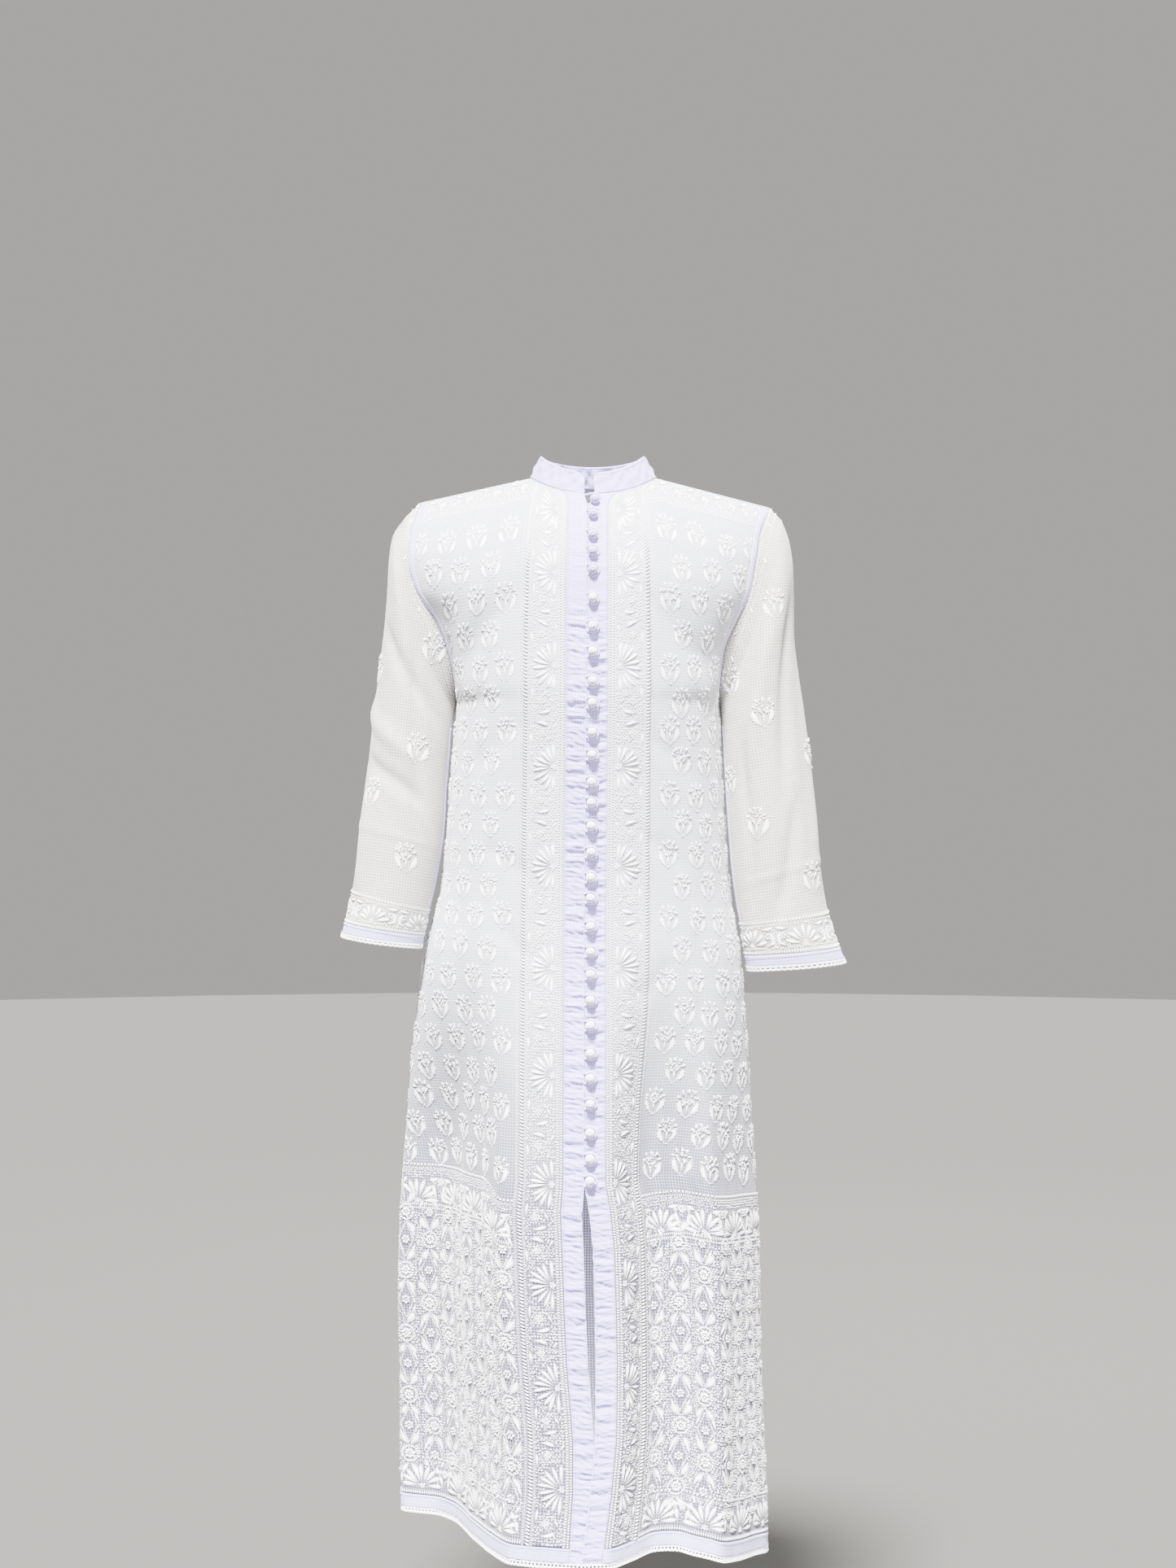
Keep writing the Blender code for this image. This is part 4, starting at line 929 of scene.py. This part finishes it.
class Work:
    """Stitches planned on flat cloth. Angles are in degrees: 0 points along u, 90 up."""

    def __init__(self):
        self.petals, self.stitches, self.knots = [], [], []

    def petal(self, u, v, angle, length, width, rise=1.0, bend=0.0):
        kept = self.petals if length > 6 else self.stitches
        kept.append((u, v, math.radians(angle), length, width, rise, bend))

    def knot(self, u, v, size, rise=1.0):
        self.knots.append((u, v, size, rise))

    def stitch_line(self, path, pitch=2.3, width=1.1, rise=0.8):
        """Small back stitches along a path."""
        for u, v, angle in walk(path, pitch):
            slant, reach = math.radians(angle), pitch * 0.58
            self.petal(u - math.cos(slant) * reach, v - math.sin(slant) * reach, angle,
                       reach * 2, width, rise)

    def ladder(self, path, pitch, length, width, slant=0.0, rise=1.2):
        """Short bars side by side across a path."""
        for u, v, angle in walk(path, pitch):
            turn = math.radians(angle + 90 + slant)
            self.petal(u - math.cos(turn) * length / 2, v - math.sin(turn) * length / 2,
                       math.degrees(turn), length, width, rise)

    def knot_line(self, path, pitch, size, rise=1.0):
        for u, v, _ in walk(path, pitch):
            self.knot(u + rng.uniform(-0.15, 0.15), v + rng.uniform(-0.15, 0.15), size, rise)

    def leaf(self, u, v, angle, length, width, bend=0.0, fill=0.5):
        """A leaf of low, smooth shadow work inside an outline of back stitches."""
        self.petals.append((u, v, math.radians(angle), length, width * 0.95, fill, bend))
        slant = math.radians(angle)
        for hand in (-1, 1):
            path = []
            for t in np.linspace(0, 1, 7):
                off = math.sin(math.pi * t ** 1.5) ** 0.8 * width / 2 * hand + bend * 4 * t * (1 - t)
                path.append((u + math.cos(slant) * length * t - math.sin(slant) * off,
                             v + math.sin(slant) * length * t + math.cos(slant) * off))
            self.stitch_line(path, 2.0, 1.1, 0.8)

    def flower(self, u, v, size, petals=6, turn=0.0):
        """A small flower of fat knots round a centre."""
        for i in range(petals):
            angle = math.radians(turn + 360 * i / petals)
            self.knot(u + math.cos(angle) * size * 0.34, v + math.sin(angle) * size * 0.34,
                      size * 0.36, 1.3)
        self.knot(u, v, size * 0.26, 1.1)

    def fan(self, u, v, middle, spread, count, length, width, rise=1.4, gap=3.5):
        """Satin petals that fan out round a knotted centre."""
        for i in range(count):
            angle = middle + spread * (i / (count - 1) - 0.5) + rng.uniform(-1.5, 1.5)
            reach, slant = length * rng.uniform(0.93, 1.05), math.radians(angle)
            self.petal(u + math.cos(slant) * gap, v + math.sin(slant) * gap, angle,
                       max(reach - gap, 6.1), width, rise, rng.uniform(-0.8, 0.8))
        for i in range(6):
            angle = math.radians(middle + 60 * i)
            self.knot(u + math.cos(angle) * 2, v + math.sin(angle) * 2, 1.9)
        self.knot(u, v, 2.0, 1.2)

    def buti(self, u, v, size=1.0, lean=0.0):
        """The scattered sprig: two smooth lobes that meet in a point below, edged with knots,
        a forked stalk between them, and a head of short petals and knots on top."""
        for hand in (-1, 1):
            angle = math.radians(90 - hand * 27 + lean)
            for t in np.arange(0.04, 1.0, 0.085):
                off = -hand * 5.2 * size * math.sin(math.pi * t ** 1.2) + rng.uniform(-0.5, 0.5)
                if rng.uniform() < 0.85:
                    self.knot(u + math.cos(angle) * 25 * size * t - math.sin(angle) * off,
                              v - 17 * size + math.sin(angle) * 25 * size * t + math.cos(angle) * off,
                              rng.uniform(1.3, 2.1))
            self.petals.append((u + hand * 0.8, v - 15 * size, math.radians(
                90 - hand * 27 + lean), 21 * size, 6.6 * size, 0.4, -hand * 2.6 * size))
            self.petal(u, v - 5 * size, 90 - hand * 33 + lean, 11 * size, 2.2, 1.2)
            self.petal(u + hand * 6 * size, v + 4.0 * size, 90 - hand * 66 + lean, 7, 2.8, 1.3)
            self.petal(u + hand * 4.0 * size, v + 7.5 * size, 90 - hand * 30 + lean, 7.5, 2.8, 1.3)
        self.petal(u, v - 13 * size, 90 + lean, 12 * size, 2.2, 1.1)
        self.petal(u, v + 8 * size, 90 + lean, 7.5, 2.6, 1.3)
        for _ in range(20):
            angle, reach = rng.uniform(0, 2 * math.pi), rng.uniform(1.5, 9) * size
            self.knot(u + math.cos(angle) * reach * 1.2, v + 5 * size + math.sin(angle) * reach,
                      rng.uniform(1.7, 2.8), 1.3)

    def stipple(self, box, pitch=2.55, size=1.75, open_at=()):
        """Fills a box with knots set close, but not under petals or in open diamonds."""
        u0, u1, v0, v1 = box
        columns, rows = int((u1 - u0) / pitch) + 1, int((v1 - v0) / pitch / 0.9) + 1
        i, j = np.meshgrid(np.arange(columns), np.arange(rows))
        u = (u0 + (i + 0.5 * (j % 2)) * pitch).ravel() + rng.uniform(-0.7, 0.7, i.size)
        v = (v0 + j * pitch * 0.9).ravel() + rng.uniform(-0.7, 0.7, i.size)
        free = (u < u1) & (v < v1)
        for pu, pv, angle, length, width, *_ in self.petals:
            if u0 - 30 < pu < u1 + 30 and v0 - 30 < pv < v1 + 30:
                along = (u - pu) * math.cos(angle) + (v - pv) * math.sin(angle)
                off = (v - pv) * math.cos(angle) - (u - pu) * math.sin(angle)
                free &= ~((np.abs(off) < width / 2 + 0.9) & (along > 0) & (along < length + 1))
        for pu, pv, half_width, half_height in open_at:
            free &= np.abs(u - pu) / half_width + np.abs(v - pv) / half_height > 1
        sizes = size * rng.uniform(0.8, 1.2, u.size)
        for spot in np.flatnonzero(free):
            self.knots.append((u[spot], v[spot], sizes[spot], 0.9))


def add_forms(pu, pv, height, flat, crown, cells, lay, kept):
    points, faces, flats, normals, crowns = kept
    count, each = sum(len(part) for part in points), pu.shape[1]
    here, out = lay(pu, pv, height + 0.15)
    points.append(here.reshape(-1, 3))
    normals.append(out.reshape(-1, 3))
    flats.append(flat.reshape(-1, 2))
    crowns.append(np.tile(np.clip(crown * 1.25 - 0.05, 0, 1), len(pu)))
    faces.append((cells[None] + count + each * np.arange(len(pu))[:, None, None]).reshape(-1, 3))


def sew(name, work, lay, inside, finish):
    """Lays planned stitches on a piece as one joined mesh. inside keeps those on the cloth."""
    kept_arrays = [], [], [], [], []
    for rows, form in ((work.petals, PETAL_FORM), (work.stitches, STITCH_FORM)):
        if not rows:
            continue
        u, v, angle, length, width, rise, bend = np.array(rows).T[:, :, None]
        corners, cells = form
        along, side, up = corners[:, 1] + 0.5, corners[:, 0], corners[:, 2]
        off = side * width + bend * 4 * along * (1 - along)
        pu = u + np.cos(angle) * length * along - np.sin(angle) * off
        pv = v + np.sin(angle) * length * along + np.cos(angle) * off
        kept = inside(pu.min(axis=1), pv.min(axis=1)) & inside(pu.max(axis=1), pv.max(axis=1))
        flat = np.stack([side * width, along * length], axis=-1)[kept]
        add_forms(pu[kept], pv[kept], (up * rise)[kept], flat, up, cells, lay, kept_arrays)
    if work.knots:
        u, v, size, rise = np.array(work.knots).T[:, :, None]
        corners, cells = KNOT_FORM
        pu, pv = u + corners[:, 0] * size, v + corners[:, 1] * size
        kept = inside(pu.min(axis=1), pv.min(axis=1)) & inside(pu.max(axis=1), pv.max(axis=1))
        flat = np.stack([corners[:, 0] * size, corners[:, 1] * size], axis=-1)[kept]
        height = (corners[:, 2] * size * rise * 0.75)[kept]
        add_forms(pu[kept], pv[kept], height, flat, corners[:, 2] + 0.05, cells, lay, kept_arrays)
    points, faces, flats, normals, crowns = (np.concatenate(part) for part in kept_arrays)
    mesh = bpy.data.meshes.new(name)
    mesh.vertices.add(len(points))
    mesh.vertices.foreach_set("co", points.ravel())
    mesh.loops.add(faces.size)
    mesh.loops.foreach_set("vertex_index", faces.ravel().astype(np.int32))
    mesh.polygons.add(len(faces))
    mesh.polygons.foreach_set("loop_start", np.arange(len(faces), dtype=np.int32) * 3)
    mesh.update(calc_edges=True)
    layer = mesh.uv_layers.new(name="flat")
    layer.data.foreach_set("uv", (flats[faces.ravel()] * MM).ravel())
    # crown runs from 0 at a stitch's foot to 1 on its crown; the finish paints shade by it.
    mesh.attributes.new("crown", "FLOAT", "POINT").data.foreach_set("value", crowns)
    piece = dress(name, mesh, finish, normals)
    return piece


SKIRT_BORDER, HEM_BORDER, JAAL = (312, 362), (20, 62), (64, 310)
DAISY_HEIGHTS = (76, 176, 278, 379, 488, 596, 700, 802, 904, 996, 1063)


def border(work, begin, end, low, high, doubled):
    """A band of upright fans and drooping leaves between a beaded line and a ladder."""
    work.knot_line([(begin, high - 1.5), (end, high - 1.5)], 4.1, 2.8, 1.1)
    work.knot_line([(begin, high - 5.2), (end, high - 5.2)], 2.3, 1.6)
    if doubled:
        for v in (low + 2, low + 6):
            work.ladder([(begin, v), (end, v)], 2.3, 3.4, 1.9, 8, 1.1)
    else:
        work.ladder([(begin, low + 3), (end, low + 3)], 2.2, 5.2, 1.9, 4, 1.2)
    base, tall = low + 10, high - low - 17
    count = max(round((end - begin) / 50), 1)
    pitch = (end - begin) / count
    for i in range(count):
        u = begin + pitch * (i + 0.5)
        work.fan(u, base, 90, 176, 9, min(tall, 25), 5.0, 1.6)
        for hand in (-1, 1):
            edge = u + hand * pitch / 2
            arch = [(edge - hand * 10 * math.cos(a), base + 1 + tall * 0.7 * math.sin(a))
                    for a in np.linspace(0, math.pi / 2, 7)]
            work.stitch_line(arch, 2.5, 1.9, 1.1)
            work.petal(edge - hand * 3.5, base - 1, 90 + hand * 12, tall * 0.6, 4.6, 1.4)
            work.petal(edge - hand * 1, base + tall * 0.78, 90 + hand * 104, 15, 4.6, 1.4, hand * 1.2)
            work.petal(u + hand * 19, base + tall * 0.5, 90 + hand * 30, 10, 3.8, 1.3)
        work.flower(u + pitch / 2, base + tall * 0.62, 8)
    work.stipple((begin, end, low + 8.5, high - 6), 2.9)


def jaal(work, begin, end, low, high):
    """A net of staggered columns: narrow open diamonds with a small flower in each, and
    between them round knotted rosettes with smooth lobes above and below."""
    columns = max(round((end - begin) / 27), 1)
    wide, tall = (end - begin) / columns, (high - low) / 4
    windows = []
    for i in range(columns):
        for j in range(9):
            u = begin + wide * (i + 0.5) + rng.uniform(-1, 1)
            v = low + tall * j / 2 + rng.uniform(-1.5, 1.5)
            if (i + j) % 2:
                work.flower(u, v, 10, 7, rng.uniform(0, 50))
                work.knot_line([(u + 8 * math.cos(a), v + 8 * math.sin(a))
                                for a in np.linspace(0, 2 * math.pi, 19)], 2.6, 2.5, 1.2)
                for hand in (-1, 1):
                    work.leaf(u + hand * 1.2, v + 10, 90 - hand * 40, 15, 7.5, 0.0, 0.5)
                    work.leaf(u + hand * 1.2, v - 10, -90 + hand * 40, 13, 6.5, 0.0, 0.5)
                continue
            windows.append((u, v, 8.0, 17.0))
            work.flower(u, v, 9, 6, rng.uniform(0, 60))
            for hand in (-1, 1):
                work.stitch_line([(u, v + 18), (u + hand * 8.5, v), (u, v - 18)], 2.2, 1.5, 1.0)
                work.petal(u + hand * 11.5, v + 2, 90 + hand * 25, 13, 3.2, 1.2)
                work.petal(u + hand * 11.0, v - 3, -90 - hand * 25, 12, 3.0, 1.2)
    work.stipple((begin, end, low, high), 2.85, 1.9, windows)


def scatter(work, begin, end, low, high):
    """Butis in a half-drop, a hand's unevenness apart."""
    for j in range(int((high - low) / 32) + 1):
        for i in range(int((end - begin) / 34) + 2):
            u = begin + 34 * i + (17 if j % 2 else 0) + rng.uniform(-2, 2)
            v = low + 32 * j + rng.uniform(-3, 3)
            if u < end and v < high:
                work.buti(u, v, rng.uniform(0.84, 0.98), rng.uniform(-6, 6))


def shoulder_row(work, begin, end):
    """Paired leaves and knots along the shoulder seam."""
    for i, u in enumerate(np.arange(begin, end, 15.0)):
        work.petal(u, 1077, 20 if i % 2 else -24, 13, 3.6, 1.3, 1)
        work.petal(u + 2, 1069, 68, 9, 2.8, 1.1)
        work.petal(u + 8, 1066, 100, 8, 2.6, 1.1)
    work.stipple((begin, end, 1062, 1083), 2.8)
    work.knot_line([(begin, 1060), (end, 1060)], 2.6, 1.9)


def fitted(work, place):
    """Moves planned stitches to where the hanging cloth carries them."""
    for rows in (work.petals, work.stitches, work.knots):
        for i, (u, v, *rest) in enumerate(rows):
            rows[i] = (*place(u, v), *rest)


def placket_strip(work):
    """The upright strip beside each placket band: half daisies, leaves and close knots
    between rows of beads and a ladder of short bars."""
    top = SKIRT_LENGTH + YOKE_LENGTH - 4
    heights = (-25,) + DAISY_HEIGHTS
    for low, high in zip(heights, DAISY_HEIGHTS):
        work.fan(32.5, high, 0, 174, 10, 25.5, 4.1, 2.0)
        middle = (low + high) / 2
        for hand in (-1, 1):
            work.petal(54 - 1.5 * hand, middle + hand * 4.8, 180 - hand * 12, 17, 4.6, 2.0, hand * 1.4)
            work.petal(56.8, middle + hand * 23 - 7, 90 + hand * 4, 15, 3.2, 1.8)
            work.petal(34, middle + hand * 13, 90 - hand * 32, 9, 2.6, 1.2, hand)
            work.stitch_line([(36, middle + hand * 21), (44, middle + hand * 24),
                              (51, middle + hand * 17), (46, middle + hand * 12)], 2.3, 1.7, 1.1)
            work.flower(46, middle + hand * 17, 6.5)
        work.stipple((30, 59, low, high), 2.95, 1.9)
    for u, pitch, size in ((23.4, 2.6, 2.3), (27.0, 2.7, 2.4)):
        work.knot_line([(u, 20), (u, top)], pitch, size, 1.3)
    for u in (60.0, 69.0):
        work.knot_line([(u, 20), (u, top)], 2.3, 1.7)
    work.ladder([(64.4, 20), (64.4, top)], 3.4, 6.8, 2.3, 22, 1.9)


for side in OUT:
    def on_front(u, v, s=side):
        seam = np.where(v > 885, SEAM_BAND + 2.5, 1.5)
        return (u < FRONT_WIDTH[s](v) - seam) & (u > 21.8) & (v > 19.8) & (v < 1084)

    reach = FRONT_WIDTH[side](300.0)
    work = Work()
    placket_strip(work)
    scatter(work, 87, reach, 392, 1046)
    shoulder_row(work, 72, FRONT_WIDTH[side](1070.0))
    sew("embroidery_front_" + side, work, LAY["front_" + side], on_front, WHITE_THREAD)
    work = Work()
    border(work, 70, reach, *SKIRT_BORDER, True)
    border(work, 70, reach, *HEM_BORDER, False)
    jaal(work, 70, reach, *JAAL)
    climb = 15 if side == "right" else 3
    fitted(work, lambda u, v: (
        70 + (u - 70) * (float(FRONT_WIDTH[side](v)) - 70) / (float(reach) - 70),
        v + climb * float(ease(80, 125, u) * ease(60, 312, v))))
    sew("embroidery_skirt_front_" + side, work, LAY["front_" + side],
        lambda u, v: on_front(u, v) & (u > 70.3), WHITE_THREAD)

low_left, low_right = BACK_WIDTH["left"](300.0), BACK_WIDTH["right"](300.0)


def on_back(u, v):
    edge = np.where(u > 0, BACK_WIDTH["left"](v), BACK_WIDTH["right"](v))
    return (np.abs(u) < edge - np.where(v > 885, SEAM_BAND + 2.5, 1.5)) & (v > 19.8) & (v < 1084)


work = Work()
scatter(work, -204, low_left, 382, 1046)
shoulder_row(work, -BACK_WIDTH["right"](1070.0), BACK_WIDTH["left"](1070.0))
sew("embroidery_back", work, LAY["back"], on_back, WHITE_THREAD)
work = Work()
border(work, -low_right, low_left, *SKIRT_BORDER, True)
border(work, -low_right, low_left, *HEM_BORDER, False)
jaal(work, -low_right, low_left, *JAAL)
fitted(work, lambda u, v: (
    u * float(BACK_WIDTH["left"](v) / low_left if u > 0 else BACK_WIDTH["right"](v) / low_right), v))
sew("embroidery_skirt_back", work, LAY["back"], on_back, WHITE_THREAD)

# The sleeves' embroidery: a bold band above each cuff hem, scattered butis above it, and a
# row of small leaves and knots beside the armhole seam.
SLEEVE_BUTIS = {
    "right": ((94, 137), (14, 165), (82, 245), (34, 296), (82, 360)),
    "left": ((56, 91), (112, 165), (72, 203), (10, 250), (126, 268), (94, 316), (34, 380)),
}
HIDDEN_BUTIS = ((-58, 105), (-104, 170), (-38, 205), (-88, 275), (-30, 325), (-98, 372))
for side in OUT:
    work = Work()
    for u, down in SLEEVE_BUTIS[side] + HIDDEN_BUTIS:
        work.buti(u, -down, rng.uniform(0.98, 1.1), rng.uniform(-8, 8))
    turns = np.radians(np.linspace(-150, 150, 60))
    for ring, pitch, size in ((0.12, 2.4, 1.8), (0.5, 2.4, 1.6)):
        along, down = SLEEVE_FLAT[side](turns, sleeve(side, turns, np.full(60, ring)))
        work.knot_line(list(zip(along, -down)), pitch, size)
        if ring == 0.5:
            for i in range(3, 57, 3):
                slant = math.degrees(math.atan2(down[i - 1] - down[i + 1], along[i + 1] - along[i - 1]))
                work.petal(along[i], 8 - down[i], slant + (50 if i % 2 else -40), 9, 3.0, 1.3)
    sew("embroidery_sleeve_" + side, work,
        lambda u, v, lift, s=side: LAY["sleeve_" + s](u, -v, lift),
        lambda u, v: np.abs(u) < GIRTH / 2 + 12, WHITE_THREAD)

    work = Work()
    half = GIRTH / 2
    work.ladder([(-half, 19), (half, 19)], 2.4, 5.0, 2.0, 6, 1.3)
    work.knot_line([(-half, 15.8), (half, 15.8)], 2.3, 1.5)
    work.ladder([(-half, 50.5), (half, 50.5)], 3.4, 6.0, 2.5, 24, 1.4)
    work.knot_line([(-half, 46.4), (half, 46.4)], 2.2, 1.5)
    for i in range(5):
        u = -half + 27 + 54 * i
        work.fan(u, 25, 90, 150, 7, 20, 4.6, 1.7)
        for hand in (-1, 1):
            work.petal(u + hand * 12, 42.5, 90 - hand * 84, 15, 4.0, 1.6, -hand)
            work.petal(u + hand * 17, 24, 90 - hand * 60, 10, 3.4, 1.4)
            work.leaf(u + hand * 25, 24, 90 + hand * 8, 15, 6.0, 0.0, 0.8)
        work.flower(u + 20, 35, 7)
        work.flower(u - 20, 35, 7)
    work.stipple((-half, half, 23, 45.5), 2.7, 1.9)

    def on_cuff(u, v):
        return (np.abs(u) < GIRTH / 2 - 1) & (v > 14)

    sew("embroidery_cuff_" + side, work, CUFF_LAY[side], on_cuff, WHITE_THREAD)

# The topstitching: small machine stitches in lilac cotton along the edges of every band.
# Its second and third tones are painted shade: between the strands, and at each stitch's foot.
TOPSTITCH = thread_finish("lilac cotton sewing thread", "D9CFF6", "C6BCE6", "6A5E92")
for side in OUT:
    work = Work()
    for u in (1.8, 19.6):
        work.stitch_line([(u, 8), (u, SKIRT_LENGTH + YOKE_LENGTH - 2)], 2.6, 0.7, 0.5)
    sew("stitching_placket_" + side, work,
        lambda u, v, lift, s=side: LAY["placket_" + s](u, v, lift + 0.8),
        lambda u, v: u > 0, TOPSTITCH)
    work = Work()
    for v in (6.2, 14.8):
        work.stitch_line([(-GIRTH / 2, v), (GIRTH / 2, v)], 2.6, 0.7, 0.5)
    sew("stitching_cuff_" + side, work,
        lambda u, v, lift, s=side: CUFF_LAY[s](u, v, lift + 0.8), lambda u, v: v > 0, TOPSTITCH)
for name, (begin, end) in HEM_RUNS.items():
    work = Work()
    for v in (6.8, 18.2):
        work.stitch_line([(float(begin(np.array(v))), v), (float(end(np.array(v))) - 1, v)],
                         2.6, 0.7, 0.5)
    sew("stitching_hem_" + name, work,
        lambda u, v, lift, n=name: LAY[n](u, v, lift + 0.8), lambda u, v: v > 0, TOPSTITCH)
work = Work()
for v in (1.6, 21.2):
    work.stitch_line([(collar_start + 3, v), (collar_end - 12, v)], 2.4, 0.7, 0.5)
sew("stitching_collar", work, lambda u, v, lift: LAY["collar"](u, v, lift + 0.45),
    lambda u, v: v > 0, TOPSTITCH)

# The buttons: small balls knotted from cord, the top five in lilac and the rest in white and
# lilac. Each is held by a loop of rolled lilac cloth on the wearer's right edge.
BUTTONS, LILAC_BUTTONS = 29, 5
BUTTON_RADIUS, LOOP_RADIUS, LOOP_CORD_RADIUS = 0.0052, 0.0066, 0.0010


def button_ball(form, crowns, middle, radius, turn):
    """One knotted ball: three turns of cord cross each way, with a small knot in front."""
    ball = bmesh.ops.create_uvsphere(form, u_segments=32, v_segments=20, radius=radius)["verts"]
    for vert in ball:
        way = vert.co.normalized()
        sizes = [abs(c) for c in way]
        axis = sizes.index(max(sizes))
        across = way[(axis + 1) % 3] / max(sizes)
        cord = abs(math.sin(1.5 * math.pi * (across + 1))) ** 0.7
        off = math.hypot(way.x, way.z + 0.2) if way.y < 0 else 2.0
        eye = math.exp(-(off / 0.22) ** 2)
        ring = math.exp(-((off - 0.4) / 0.12) ** 2)
        cord = min(max(cord, eye) * (1 - 0.8 * ring), 1.0)
        vert[crowns] = cord
        vert.co = way * radius * (0.9 + 0.08 * cord + 0.06 * eye)
    bmesh.ops.rotate(form, verts=ball, matrix=Matrix.Rotation(turn, 3, "Y"))
    bmesh.ops.translate(form, verts=ball, vec=middle)


def knotted_finish(name, colour, groove):
    """A knotted cord ball: its cord's colour, and the shaded grooves between its turns."""
    finish, tree, shader = fabric(name, 0.7, 0.3)
    crown = add(tree, "ShaderNodeAttribute", attribute_name="crown")
    colours = add(tree, "ShaderNodeMix", {
        0: crown.outputs["Fac"], 6: hue(groove), 7: hue(colour)}, data_type="RGBA")
    tree.links.new(colours.outputs[2], shader.inputs["Base Color"])
    return finish


LILAC_THREAD = knotted_finish("mauve cotton cord", "D3BFE8", "6E5488")
PALE_THREAD = knotted_finish("white cotton cord with mauve grooves", "FAF6FB", "A99ABB")
names = ["button_%02d" % number for number in range(1, BUTTONS + 1)]
middles = []
for name in names:
    low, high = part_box(name)
    middles.append((Vector(low) + Vector(high)) / 2)
for label, group, finish in (("lilac", range(LILAC_BUTTONS), LILAC_THREAD),
                             ("white", range(LILAC_BUTTONS, BUTTONS), PALE_THREAD)):
    form = bmesh.new()
    crowns = form.verts.layers.float.new("crown")
    for i in group:
        button_ball(form, crowns, middles[i], BUTTON_RADIUS, rng.uniform(-1.5, 1.5))
    mesh = bpy.data.meshes.new("buttons_" + label)
    form.to_mesh(mesh)
    form.free()
    mesh.shade_smooth()
    mesh.materials.append(finish)
    piece = bpy.data.objects.new("buttons_" + label, mesh)
    bpy.context.scene.collection.objects.link(piece)
    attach(piece, "root")
    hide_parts(*[names[i] for i in group])

loops = []
for middle in middles:
    height = -middle.z / MM
    near_v = HEM_DROP - height if height > UNDERARM_DROP else (
        SKIRT_LENGTH + (UNDERARM_DROP - height) / (UNDERARM_DROP - NECK_FRONT_DROP) * YOKE_LENGTH)
    edge = Vector(LAY["front_right"](np.array(0.0), np.array(near_v))[0])
    path = [(edge.x - 0.0006, edge.y + 0.0004, middle.z + 0.0044)]
    for degrees in range(90, -91, -15):
        turn = math.radians(degrees)
        path.append((middle.x + math.cos(turn) * LOOP_RADIUS, edge.y - 0.0015,
                     middle.z + math.sin(turn) * LOOP_RADIUS))
    path[1:1] = [(edge.x + 0.0004, edge.y - 0.0014, middle.z + 0.0050)]
    path += [(edge.x + 0.0004, edge.y - 0.0014, middle.z - 0.0050),
             (edge.x - 0.0006, edge.y + 0.0004, middle.z - 0.0044)]
    loops.append(np.array(path))
# Its second tone is painted shade between the plies.
LILAC_ROLL = cotton_cord("rolled lilac cotton cloth", "DDD2F0", "BDAEDA", 0.0014)
piece = cords("button_loop_cords", loops, LOOP_CORD_RADIUS, LILAC_ROLL, 2)
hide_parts("button_loops")

# The stage: a plain floor, a strong soft light from above and in front, weaker ones from the
# right, from under the hem and from behind, and a level camera 2.6 m in front. The strong
# light lets white thread come out white, so the floor's own grey is darker than it looks.
FLOOR_HEIGHT, FLOOR_RADIUS = -1.32, 9.0
floor_mesh = bpy.data.meshes.new("floor")
ground = bmesh.new()
bmesh.ops.create_circle(ground, cap_ends=True, segments=64, radius=FLOOR_RADIUS)
bmesh.ops.translate(ground, verts=ground.verts, vec=(0, 0, FLOOR_HEIGHT))
ground.to_mesh(floor_mesh)
ground.free()
FLOOR, _, floor_shader = fabric("matt grey floor", 0.9, 0.0)
floor_shader.inputs["Base Color"].default_value = hue("3F3D3A")
floor_mesh.materials.append(FLOOR)
floor = bpy.data.objects.new("floor", floor_mesh)
bpy.context.scene.collection.objects.link(floor)

world = bpy.data.worlds.new("soft studio")
bpy.context.scene.world = world
world.use_nodes = True
world.node_tree.nodes["Background"].inputs["Color"].default_value = hue("D2CFCD")
world.node_tree.nodes["Background"].inputs["Strength"].default_value = 0.75


def lamp(name, kind, place, aim, size, power):
    light = bpy.data.lights.new(name, kind)
    if kind == "AREA":
        light.size = size
    else:
        light.angle = size
    light.energy = power
    holder = bpy.data.objects.new(name, light)
    bpy.context.scene.collection.objects.link(holder)
    holder.location = place
    way = Vector(aim) - Vector(place)
    holder.rotation_euler = way.to_track_quat("-Z", "Y").to_euler()


lamp("key", "SUN", (-0.25, -1.1, 2.0), (0, 0, 0), math.radians(12), 46.0)
lamp("fill", "AREA", (1.6, -3.0, -0.2), (0, 0, -0.7), 2.0, 120)
lamp("under", "AREA", (0.0, -0.05, -1.3), (0, 0, 0), 0.3, 22)
lamp("back", "AREA", (0.8, 2.4, 1.4), (0, 0, -0.5), 1.5, 180)

camera = bpy.data.cameras.new("camera")
camera.sensor_fit = "VERTICAL"
camera.sensor_height = 36.0
camera.lens = 55.84
eye = bpy.data.objects.new("camera", camera)
bpy.context.scene.collection.objects.link(eye)
eye.location = (-0.00566, -2.6, -0.3267)
eye.rotation_euler = (math.radians(90), 0, 0)
bpy.context.scene.camera = eye
